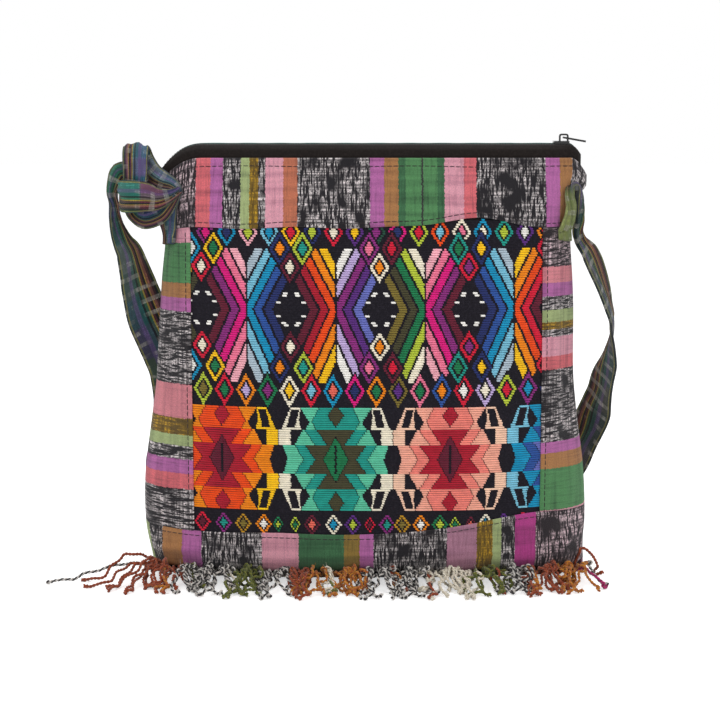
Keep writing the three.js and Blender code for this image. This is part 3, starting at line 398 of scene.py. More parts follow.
def new_material(
    name: str, roughness: float, specular: float = 0.2
) -> tuple[bpy.types.Material, Sketch, bpy.types.Node]:
    """Starts a material.

    Args:
        name: name of the material.
        roughness: roughness of its shader.
        specular: specular level of its shader.

    Returns:
        The material, the sketch of its tree and its shader.
    """
    material = bpy.data.materials.new(name)
    material.use_nodes = True
    sketch = Sketch(material.node_tree)
    shader = material.node_tree.nodes["Principled BSDF"]
    shader.inputs["Roughness"].default_value = roughness
    shader.inputs["Specular IOR Level"].default_value = specular
    return material, sketch, shader


def dress(s: Sketch, shader: bpy.types.Node, color: object, height: object, relief: float, sheen: float) -> None:
    """Gives a shader its look.

    Args:
        s: sketch of the material.
        shader: its shader.
        color: its colour.
        height: height of its threads, from 0 to about 1.
        relief: millimetres that a height of 1 stands for.
        sheen: weight of the sheen of loose fibres.
    """
    bump = s.node("Bump", {"Height": height, "Distance": relief * MM, "Strength": 1.0})
    for label, value in (("Base Color", color), ("Normal", bump.outputs["Normal"]), ("Sheen Weight", sheen)):
        s.feed(shader.inputs[label], value)


class Stripe(Enum):
    """Stripes of the ikat cloth: light yarn, dark yarn, and how far the stripe is tied and dyed."""

    IKAT = (0xF6ECEC, 0x221F24, 1.0)
    PINK_IKAT = (0xF8DCE3, 0x2C252A, 1.0)
    CORAL = (0xEC767E, 0x8E4650, 0.0)
    SALMON = (0xE8919A, 0xA86470, 0.0)
    ORCHID = (0xC673B3, 0x6E3A66, 0.0)
    MAGENTA = (0xC24694, 0x6A2A54, 0.0)
    PALE_GREEN = (0xB9C98C, 0x6C7A56, 0.15)
    GREEN = (0x5E9A62, 0x2C4834, 0.1)
    DARK_GREEN = (0x4A8056, 0x22382A, 0.25)
    YELLOW_BLACK = (0xD8A92C, 0x2A2420, 0.75)
    TAN = (0xB98352, 0x76503A, 0.0)
    OLIVE_TAN = (0xA0823E, 0x4E4A2C, 0.1)
    LIGHT_PINK = (0xF0ABBC, 0xA8687C, 0.0)
    TERRACOTTA = (0xD07C5E, 0x8A4E40, 0.0)
    BLACK = (0x4A4448, 0x242226, 0.5)
    MAUVE = (0xC48CA4, 0x785064, 0.2)

    def color(self, yarn: int) -> tuple[float, float, float, float]:
        """The light (0) or dark (1) yarn's colour, with the share of ikat as its alpha."""
        return (*rgb(self.value[yarn])[:3], self.value[2])


@dataclass(frozen=True)
class IkatFinish:
    """Striped ikat cloth. The stripes are laid side by side from the place start on."""

    name: str
    start: float
    stripes: tuple[tuple[float, Stripe], ...]
    seed: float = 0.0

    def material(self) -> bpy.types.Material:
        """Makes the cloth's material, whose UV is in metres across and along the stripes."""
        material, s, shader = new_material(self.name, 0.92, 0.15)
        across, along = s.cloth_place()
        ragged = s.grain((across, along), (300, 900), self.seed)
        edge = s.math("ADD", across, s.window(ragged, 0.3, 0.7, -0.35 * MM, 0.35 * MM))
        ends = np.cumsum([0.0, *(width for width, _ in self.stripes)])
        place = s.window(edge, self.start * MM, (self.start + ends[-1]) * MM)
        light, dark = (
            s.stripe_ramp(place, [(at / ends[-1], stripe.color(yarn)) for at, (_, stripe) in zip(ends, self.stripes)])
            for yarn in (0, 1)
        )
        given = {
            "Across": across, "Along": along, "Light": light.outputs["Color"], "Dark": dark.outputs["Color"],
            "Ikat": light.outputs["Alpha"], "Seed": self.seed,
        }
        weave = s.node("Group", given, node_tree=ikat_weave_group())
        dress(s, shader, weave.outputs["Color"], weave.outputs["Height"], 0.12, 0.15)
        return material


@dataclass(frozen=True)
class YarnFinish:
    """Thick spun yarn in the colour that the piece's own "tint" gives each point."""

    name: str
    relief: float = 0.12
    sheen: float = 0.2

    def material(self) -> bpy.types.Material:
        """Makes the yarn's material."""
        material, s, shader = new_material(self.name, 0.85, 0.25)
        dye = s.node("Attribute", attribute_name="tint").outputs["Color"]
        yarn = s.node("Group", {"Dye": dye}, node_tree=twisted_yarn_group())
        dress(s, shader, yarn.outputs["Color"], yarn.outputs["Height"], self.relief, self.sheen)
        return material


@dataclass(frozen=True)
class PlainClothFinish:
    """Plain woven cloth of one colour: ribs of the weft over fine warp threads."""

    name: str
    color: int
    rib: float
    rough: float = 0.95

    def material(self) -> bpy.types.Material:
        """Makes the cloth's material, with its threads along Object X and Z."""
        material, s, shader = new_material(self.name, self.rough, 0.15)
        place = s.node("TexCoord").outputs["Object"]
        xyz = s.node("SeparateXYZ", {0: place})
        ribs = s.math("SINE", s.times(xyz.outputs[2], 2 * math.pi / (self.rib * MM)))
        warp = s.math("SINE", s.times(xyz.outputs[0], 2 * math.pi / (0.6 * self.rib * MM)))
        lint = s.node("TexNoise", {"Vector": place, "Scale": 900.0, "Detail": 3.0}).outputs["Fac"]
        color = rgb(self.color)
        paler = tuple(min(1.0, 1.7 * c + 0.004) for c in color[:3]) + (1.0,)
        cloth = s.mix(s.window(lint, 0.45, 0.75), color, paler)
        dress(s, shader, cloth, s.math("ADD", ribs, s.times(warp, 0.4)), 0.1 * self.rib, 0.1)
        return material


@dataclass(frozen=True)
class HardFinish:
    """Smooth hard material of one colour with faint handling marks in its gloss."""

    name: str
    color: int
    rough: float
    metal: float = 0.0
    coat: float = 0.0

    def material(self) -> bpy.types.Material:
        """Makes the material."""
        material, s, shader = new_material(self.name, self.rough, 0.5)
        for label, value in (("Base Color", rgb(self.color)), ("Metallic", self.metal), ("Coat Weight", self.coat)):
            s.feed(shader.inputs[label], value)
        marks = s.node("TexNoise", {"Vector": s.node("TexCoord").outputs["Object"], "Scale": 700.0, "Detail": 4.0})
        gloss = s.window(marks.outputs["Fac"], 0.35, 0.7, self.rough - 0.06, self.rough + 0.1)
        s.feed(shader.inputs["Roughness"], gloss)
        return material


@dataclass(frozen=True)
class StrapFinish:
    """Strap cloth: narrow lengthwise stripes, some of which take the field that "tint" gives
    by its colour, crossed by pale bars. The alpha of "tint" spreads its colour over all."""

    name: str
    half_width: float
    bar_pitch: float = 8.5
    stripes: tuple[tuple[float, int, float], ...] = (
        (-13, 0x22303A, 0.2), (-12.2, 0xA8A664, 0), (-11.3, 0x5A86A8, 0.85), (-6.5, 0x8A76B8, 0.45),
        (-3.5, 0x2E8A84, 0.6), (-0.8, 0x1A2226, 0.1), (0.6, 0x4E8A5E, 0.5), (2.2, 0xC9B24A, 0), (3.1, 0x6E2A36, 0.15),
        (4.6, 0x1C181C, 0.05), (6, 0xC4A04A, 0), (6.8, 0xB46A5A, 0.25), (8.4, 0x5A2430, 0.15), (9.8, 0x20201E, 0.1),
        (11.2, 0x9AA05A, 0.1), (12.1, 0x2A3A30, 0.3),
    )

    def material(self) -> bpy.types.Material:
        """Makes the strap's material, whose UV is in metres across and along it."""
        material, s, shader = new_material(self.name, 0.92, 0.15)
        across, along = s.cloth_place()
        half = self.half_width
        field = s.node("Attribute", attribute_name="tint")
        ramp = s.stripe_ramp(
            s.window(across, -half * MM, half * MM),
            [((at + half) / (2 * half), (*rgb(stripe)[:3], share)) for at, stripe, share in self.stripes],
        )
        share = s.math("MAXIMUM", ramp.outputs["Alpha"], field.outputs["Alpha"])
        striped = s.mix(share, ramp.outputs["Color"], field.outputs["Color"])
        crossing = s.math("SINE", s.times(along, 2 * math.pi / (self.bar_pitch * MM)))
        patches = s.grain((across, along), (90, 30), 4.0)
        bars = s.times(s.window(crossing, 0.45, 0.6), s.window(patches, 0.47, 0.56, 0.0, 0.6))
        light = s.mix(bars, striped, rgb(0xE8E4D8))
        dark = s.mix(0.72, striped, rgb(0x101416))
        given = {"Across": across, "Along": along, "Light": light, "Dark": dark, "Ikat": 1.0, "Seed": 7.0}
        weave = s.node("Group", given, node_tree=ikat_weave_group())
        dress(s, shader, s.mix(0.3, weave.outputs["Color"], light), weave.outputs["Height"], 0.12, 0.15)
        return material


# The shape of the filled bag.


@dataclass(frozen=True)
class BagForm:
    """The filled bag that every cloth lies on: its CAD solids' numbers, with finer side seams
    and corners of the mouth."""

    height: float = 248
    half_width: float = 129
    half_depth: float = 32
    mouth_half_depth: float = 9.5
    base_front: float = 20
    base_back: float = 23
    base_rounding: float = 14
    seam_height: float = 7
    left_corner: tuple[float, float, float, float] = (-96, 26.4, 17, 2.3)
    right_corner: tuple[float, float, float, float] = (116, 9, 11, 1.8)
    skin: float = 2.4
    seam_gap: float = 0.5
    panel_half_width: float = 109

    @property
    def base_start(self) -> float:
        """Where the back cloth's part under the bag begins, from the middle."""
        return -self.base_front + 1.5

    def half_width_at(self, z: np.ndarray, side: np.ndarray) -> np.ndarray:
        """Half the bag's width at a height, less what the strap's ends and the filling draw
        each side seam in by."""
        share = SmoothLine([0, 0.13, 0.42, 0.71, 0.82, 0.93, 1], [0.99, 1.015, 0.975, 0.94, 0.925, 0.96, 0.965])
        places = [0, 25, 60, 95, 120, 165, 200, 212, 227, 236, 242, 248]
        left = SmoothLine(places, [0, -1.2, -2.4, -0.8, 0.8, 1.2, 2, 4, 5, 1.5, 0, 0])(z)
        right = SmoothLine(places, [0, 3, 3, 4.5, 5.5, 3.8, 3.6, 6, 6, 2, 0, 0])(z)
        return self.half_width * share(np.asarray(z) / self.height) - np.where(side < 0, left, right)

    def wall_depth(self, base: float, base_height: float, z: np.ndarray) -> np.ndarray:
        """Depth of a wall: a quarter round up from the base, and then its fullness."""
        fullness = SmoothLine([0, 0.28, 0.48, 0.73, 0.91, 1], [0.95, 1, 0.94, 0.68, 0.26, 0])
        full = self.mouth_half_depth + (self.half_depth - self.mouth_half_depth) * fullness(z / self.height)
        t = np.clip((z - base_height) / self.base_rounding, 0, 1)
        return base + (full - base) * np.sqrt(1 - (1 - t) ** 2)

    def depth_share(self, x: np.ndarray, z: np.ndarray) -> np.ndarray:
        """Share of the full depth at x: a flattened arch from side seam to side seam."""
        power = 3 + 9 * smoothstep(0.8 * self.height, self.height, z)
        reach = np.minimum(1, np.abs(x) / self.half_width_at(z, np.sign(x)))
        return np.clip(1 - reach**power, 0, 1) ** 0.55

    def mouth_drop(self, x: np.ndarray) -> np.ndarray:
        """How far the mouth falls at x. Each corner gives where its bend starts, the distance
        over which it falls, the whole fall, and the power of the way past the start."""
        start, run, fall, power = self.left_corner
        left = fall * np.clip((start - x) / run, 0, 1) ** power
        start, run, fall, power = self.right_corner
        right = fall * np.clip((x - start) / run, 0, 1) ** power
        return np.maximum(left, right)

    def column_at(self, column: np.ndarray, z: np.ndarray) -> np.ndarray:
        """A column's x: straight up over the panel, and spread out evenly beyond it."""
        beyond = np.maximum(np.abs(column) - self.panel_half_width, 0) / (self.half_width - self.panel_half_width)
        seam = self.half_width_at(z, np.sign(column))
        spread = self.panel_half_width + beyond * (seam - self.panel_half_width)
        return np.where(beyond > 0, np.sign(column) * spread, column)

    def on_bag(self, column: np.ndarray, depth: np.ndarray, z: np.ndarray) -> np.ndarray:
        """The place at a column and a height, on the wall of that depth."""
        x = self.column_at(column, z)
        y = np.sign(depth) * self.seam_gap / 2 + depth * self.depth_share(x, z)
        drop = self.mouth_drop(x) * smoothstep(0.75 * self.height, self.height, z)
        return np.stack(np.broadcast_arrays(x, y, z - drop), -1)

    def front(self, column: np.ndarray, z: np.ndarray) -> np.ndarray:
        """The front wall under its cloth."""
        return self.on_bag(column, -self.wall_depth(self.base_front, self.seam_height, z), z)

    def back(self, column: np.ndarray, v: np.ndarray) -> np.ndarray:
        """The back wall for v from 0 up, and the floor of the bag for v from -1 to 0."""
        z = self.skin + np.maximum(v, 0)
        wall = self.on_bag(column, self.wall_depth(self.base_back, self.skin, z), z)
        under = self.on_bag(column, self.base_back + 0 * z, self.skin + 0 * z)
        share = under[..., 1] / (self.base_back + self.seam_gap / 2)
        y = (self.base_back + (self.base_back - self.base_start) * np.minimum(v, 0)) * share
        under = np.stack([under[..., 0], y, under[..., 2]], -1)
        return np.where((v < 0)[..., None], under, wall)

    def with_normals(self, wall: Surface, side: int, ranges: tuple[float, float]) -> Surface:
        """A surface of places and outward normals, by small steps that stay inside it.

        Args:
            wall: gives the place at a column and a row.
            side: 1 where column x row faces out, otherwise -1.
            ranges: the middle of the rows and the least step along them.

        Returns:
            A function that gives both.
        """
        middle, step = ranges

        def surface(a: np.ndarray, b: np.ndarray) -> tuple[np.ndarray, np.ndarray]:
            """Places and outward normals."""
            here = wall(a, b)
            back, down = np.where(a > 0, -1e-3, 1e-3), np.where(b > middle, -step, step)
            along_a = (wall(a + back, b) - here) / back[..., None]
            along_b = (wall(a, b + down) - here) / down[..., None]
            return here, side * unit(np.cross(along_a, along_b))

        return surface

    def eased(self, surface: Surface) -> Surface:
        """The front surface with the cloth's own ease: soft puckers along the bands, a
        crease along the bottom band and tucks at its corners, all as waves that rise and
        fall along the normal."""

        def easy(c: np.ndarray, z: np.ndarray) -> tuple[np.ndarray, np.ndarray]:
            """Places and outward normals."""
            here, normal = surface(c, z)
            in_band = smoothstep(100, 112, np.abs(c)) + smoothstep(206, 216, z) + smoothstep(32, 24, z)
            puckers = 0.35 * np.sin(c / 6.1 + 2.3 * np.sin(z / 31)) * np.sin(z / 17 + 1.1 * np.sin(c / 23))
            side_folds = 0.9 * np.exp(-(((np.abs(c) - 118) / 5) ** 2)) * np.sin(z / 11 + np.sin(z / 37) * 3)
            low = np.exp(-(((z - 17 - 1.5 * np.sin(c / 24)) / 3.2) ** 2))
            crease = 1.0 * low * (0.6 + 0.4 * np.sin(c / 19 + 1))
            tucks = 1.6 * np.exp(-(((np.abs(c + 3) - 112 - 0.35 * z) / 4) ** 2)) * smoothstep(34, 14, z)
            swell = 0.5 * np.sin(c / 41 + 0.6) * np.sin(z / 47) + 0.3
            lift = np.clip(in_band, 0, 1) * (puckers + crease + tucks) + side_folds * (z < 208) * (z > 30) + swell
            quiet = smoothstep(129, 122, np.abs(c)) * smoothstep(7, 10, z) * smoothstep(248, 240, z)
            return here + normal * (np.maximum(lift, -0.4) * quiet)[..., None], normal

        return easy

    def front_surface(self) -> Surface:
        """The eased front wall with its normals."""
        return self.eased(self.with_normals(self.front, 1, (self.height / 2, 1e-3)))

    def back_surface(self) -> Surface:
        """The back wall and floor with their normals."""
        return self.with_normals(self.back, -1, (-0.5, 1e-3))


def cloth_sheet(
    surface: Surface, columns: np.ndarray, rows: np.ndarray, inner: float, outer: float, side: int
) -> tuple[np.ndarray, list[np.ndarray], np.ndarray, np.ndarray]:
    """A closed sheet of cloth: an outer and an inner grid, and an edge rolled half round.

    Args:
        surface: gives places and normals at a column and a row.
        columns: array of columns, or of one array of columns for each row.
        rows: rows, of a shape that broadcasts against columns.
        inner: lowest height above the surface.
        outer: highest height above it.
        side: 1 where column x row faces out, otherwise -1.

    Returns:
        The points, the faces, and each point's column and row.
    """
    a, b = np.broadcast_arrays(columns, rows)
    place, normal = surface(a, b)
    high, low = place + outer * normal, place + inner * normal
    count_b, count_a = a.shape
    index = np.arange(count_a * count_b).reshape(count_b, count_a)
    rim = np.concatenate([index[0, :-1], index[:-1, -1], index[-1, :0:-1], index[:0:-1, 0]])
    inward = np.concatenate([index[1, :-1], index[:-1, -2], index[-2, :0:-1], index[:0:-1, 1]])
    flat_high, flat_low = high.reshape(-1, 3), low.reshape(-1, 3)
    out = unit(flat_high[rim] - flat_high[inward])
    middle = (flat_high[rim] + flat_low[rim]) / 2 + out * (outer - inner) * 0.35
    points = np.concatenate([flat_high, flat_low, middle])
    total, ring = count_a * count_b, len(rim)
    top = grid_faces(count_b, count_a)
    k = np.arange(ring)
    after = (k + 1) % ring
    mid, mid_after = 2 * total + k, 2 * total + after
    upper = np.stack([mid, mid_after, rim[after], rim[k]], -1)
    lower = np.stack([total + rim[k], total + rim[after], mid_after, mid], -1)
    faces = np.concatenate([top, top[:, ::-1] + total, upper, lower])
    at = [np.concatenate([v.ravel(), v.ravel(), v.ravel()[rim]]) for v in (a, b)]
    return points, [faces if side > 0 else faces[:, ::-1]], at[0], at[1]


@dataclass
class FrontBands:
    """Four ikat bands round the window, and the rows of topstitching that hold them."""

    form: BagForm
    window_left: float = -103
    window_right: float = 100
    window_bottom: float = 29
    window_top: float = 209
    foot_lap: float = 1.6
    foot_climb: float = 11
    inner: float = 1.2
    outer: float = 2.4
    hem_wave: float = 5.5
    mesh_step: float = 1.6
    side_gap: float = 0.3
    stitch: float = 2.6
    stitch_gap: float = 1.0
    thread_radius: float = 0.24

    def top_edge(self, x: np.ndarray) -> np.ndarray:
        """Lower edge of the top band, which rides up a little right of the middle."""
        return self.window_top + self.hem_wave * np.exp(-(((x - 60) / 26) ** 2)) + 0.5 * np.sin(x / 9)

    def bottom_edge(self, x: np.ndarray) -> np.ndarray:
        """Upper edge of the bottom band, which climbs towards the right."""
        straight = self.window_bottom + self.foot_lap + self.foot_climb * smoothstep(5, 105, x)
        return straight + 0.4 * np.sin(x / 12)

    def finishes(self) -> dict[str, IkatFinish]:
        """The stripes of each band, in order from the left or from below."""
        s = Stripe
        top = (
            (29, s.PINK_IKAT), (8, s.CORAL), (7.6, s.ORCHID), (9.6, s.IKAT), (5.4, s.PALE_GREEN),
            (5.4, s.YELLOW_BLACK), (4.2, s.IKAT), (9.6, s.LIGHT_PINK), (8.4, s.TERRACOTTA), (42, s.IKAT),
            (7.8, s.ORCHID), (8.4, s.TAN), (4.2, s.DARK_GREEN), (9, s.GREEN), (1.2, s.BLACK), (7.8, s.GREEN),
            (3.6, s.DARK_GREEN), (12, s.LIGHT_PINK), (6.6, s.CORAL), (39.6, s.IKAT), (8.4, s.ORCHID), (9, s.TAN),
            (14, s.IKAT),
        )
        bottom = (
            (3, s.PALE_GREEN), (7, s.IKAT), (10, s.TAN), (11, s.ORCHID), (36, s.IKAT), (21, s.LIGHT_PINK),
            (27, s.DARK_GREEN), (8.4, s.OLIVE_TAN), (8.4, s.ORCHID), (43, s.IKAT), (17.4, s.MAUVE),
            (9, s.YELLOW_BLACK), (4.8, s.PALE_GREEN), (8.4, s.IKAT), (12.6, s.MAGENTA), (34, s.PINK_IKAT),
        )
        left = (
            (26, s.IKAT), (9, s.CORAL), (9, s.ORCHID), (7.2, s.IKAT), (6.6, s.PALE_GREEN), (10.2, s.YELLOW_BLACK),
            (19.8, s.SALMON), (42.6, s.IKAT), (7.8, s.ORCHID), (8.4, s.TAN), (23.4, s.GREEN), (12, s.LIGHT_PINK),
        )
        right = (
            (8.6, s.IKAT), (4.8, s.LIGHT_PINK), (24.6, s.GREEN), (9, s.TAN), (6.6, s.ORCHID), (42.6, s.IKAT),
            (8.4, s.CORAL), (11.4, s.LIGHT_PINK), (4, s.IKAT), (4.4, s.YELLOW_BLACK), (7.2, s.PALE_GREEN),
            (7.2, s.IKAT), (8.4, s.ORCHID), (9, s.SALMON), (26, s.PINK_IKAT),
        )
        return {
            "front_top_band": IkatFinish("Ikat of the top band", -129, top, 1.3),
            "front_bottom_band": IkatFinish("Ikat of the bottom band", -130, bottom, 5.1),
            "front_left_band": IkatFinish("Ikat of the left band", 29, left, 8.7),
            "front_right_band": IkatFinish("Ikat of the right band", 29, right, 12.9),
        }

    def side_foot(self, x: np.ndarray) -> np.ndarray:
        """Lower edge of a side band, a little above the bottom band."""
        return self.bottom_edge(x) + self.side_gap

    def band(self, node: str, finish: IkatFinish) -> None:
        """Makes one band.

        Args:
            node: the CAD node that it stands for.
            finish: its cloth.
        """
        seam, side_top = self.form.half_width, self.window_top - self.side_gap
        limits = {
            "front_top_band": (-seam, seam, self.top_edge, self.form.height),
            "front_bottom_band": (-seam, seam, self.form.seam_height, self.bottom_edge),
            "front_left_band": (-seam, self.window_left, self.side_foot, side_top),
            "front_right_band": (self.window_right, seam, self.side_foot, side_top),
        }
        left, right, bottom, top = limits[node]
        columns = self.spaced(left, right, math.ceil((right - left) / self.mesh_step))[None, :]
        low, high = (limit(columns) if callable(limit) else limit for limit in (bottom, top))
        length = float(np.max(high - low))
        rows = low + np.linspace(0, 1, math.ceil(length / self.mesh_step))[:, None] * (high - low)
        surface = self.form.front_surface()
        points, faces, at_column, at_row = cloth_sheet(surface, columns, rows, self.inner, self.outer, 1)
        upright = "left" in node or "right" in node
        uv = np.stack([at_row, at_column] if upright else [at_column, at_row], -1) * MM
        piece = make_piece(f"{node}_cloth", points, faces, finish.material(), uv=uv)
        fit(piece, "ikat_striped", node)

    def spaced(self, left: float, right: float, count: int) -> np.ndarray:
        """Columns that crowd together at the side seams, where the cloth turns round."""
        share = np.linspace(0, 1, count + 1)
        even = left + share * (right - left)
        seam = self.form.half_width
        near = smoothstep(seam - 12, seam, np.abs(even))
        return np.sign(even) * (np.abs(even) + near * (1 - near) * 1.5)

    def stitch_rows(self) -> list[tuple[np.ndarray, np.ndarray]]:
        """Columns and heights along each row of stitching."""
        across = np.linspace(-127, 127, 900)
        upright = np.linspace(self.window_bottom + 1, self.window_top - 1, 700)
        return [
            (across, 243 + 0.4 * np.sin(across / 15)),
            (across, self.top_edge(across) + 2.3),
            (across, self.bottom_edge(across) - 2.4),
            (upright * 0 + self.window_left - 2.2, upright),
            (upright * 0 + self.window_right + 2.2, np.maximum(upright, self.window_bottom + 8)),
        ]

    def topstitching(self) -> None:
        """Short threads that come up out of the cloth, run along it and go down again, as a
        tube whose height is a flattened arch."""
        surface = self.form.front_surface()
        paths, levels = [], []
        for columns, heights in self.stitch_rows():
            place, normal = surface(columns, heights)
            length = np.concatenate([[0], np.cumsum(np.linalg.norm(np.diff(place, axis=0), axis=1))])
            pitch = self.stitch + self.stitch_gap
            starts = np.arange(0.5, length[-1] - pitch, pitch)
            spots = starts[:, None] + np.linspace(0, self.stitch, 5)[None]
            arch = np.sin(np.linspace(0, math.pi, 5)) ** 0.5 * self.thread_radius * 1.3 - 0.5 * self.thread_radius
            at, out = (
                np.stack([np.interp(spots, length, values[:, k]) for k in range(3)], -1) for values in (place, normal)
            )
            levels.append(unit(out))
            paths.append(at + levels[-1] * (self.outer + arch)[None, :, None])
        paths, level = np.concatenate(paths), np.concatenate(levels)
        points, faces = tubes(paths, self.thread_radius, 5, level)
        tint = np.tile(rgb(0x2A2226), (len(points), 1))
        piece = make_piece("topstitching", points, faces, YarnFinish("Dark sewing thread", 0.03).material(), tint=tint)
        fit(piece, "ikat_striped")

    def build(self) -> None:
        """Makes all four bands and their stitching."""
        for node, finish in self.finishes().items():
            self.band(node, finish)
        self.topstitching()


class Thread(Enum):
    """Dyes of the brocade yarn."""

    BLACK = 0x17141C
    NAVY = 0x222E66
    BLUE = 0x2C55A0
    CYAN = 0x0A95C0
    LIGHT_BLUE = 0x7DC3DB
    GREY_BLUE = 0xB4C4D0
    PERIWINKLE = 0x6A72BE
    PURPLE = 0x5C2B80
    PLUM = 0x8C2A7C
    LILAC = 0xC3AEDC
    MAGENTA = 0xDE1480
    PINK = 0xF27C9C
    LIGHT_PINK = 0xF8B4C0
    MAROON = 0x66162E
    CRIMSON = 0xB0162E
    RED = 0xDA1638
    ORANGE_RED = 0xF04E10
    ORANGE = 0xF58C0A
    YELLOW = 0xFBC70F
    CREAM = 0xF5ECD6
    WHITE = 0xF5F2EC
    MUSTARD = 0xC08E1E
    OLIVE = 0x7C6C2C
    DARK_OLIVE = 0x45422A
    LIME = 0xBACB3C
    GREEN = 0x15794A
    DARK_GREEN = 0x1E4A3A
    MINT = 0x60C8A4
    TEAL = 0x1B9B8C
    CORAL = 0xF0705E
    SALMON = 0xF2877A
    LIGHT_SALMON = 0xF6AE98
    PEACH = 0xF9CDB2

    @property
    def number(self) -> int:
        """The dye's number in a pattern, where 0 is the black ground."""
        return list(Thread).index(self)


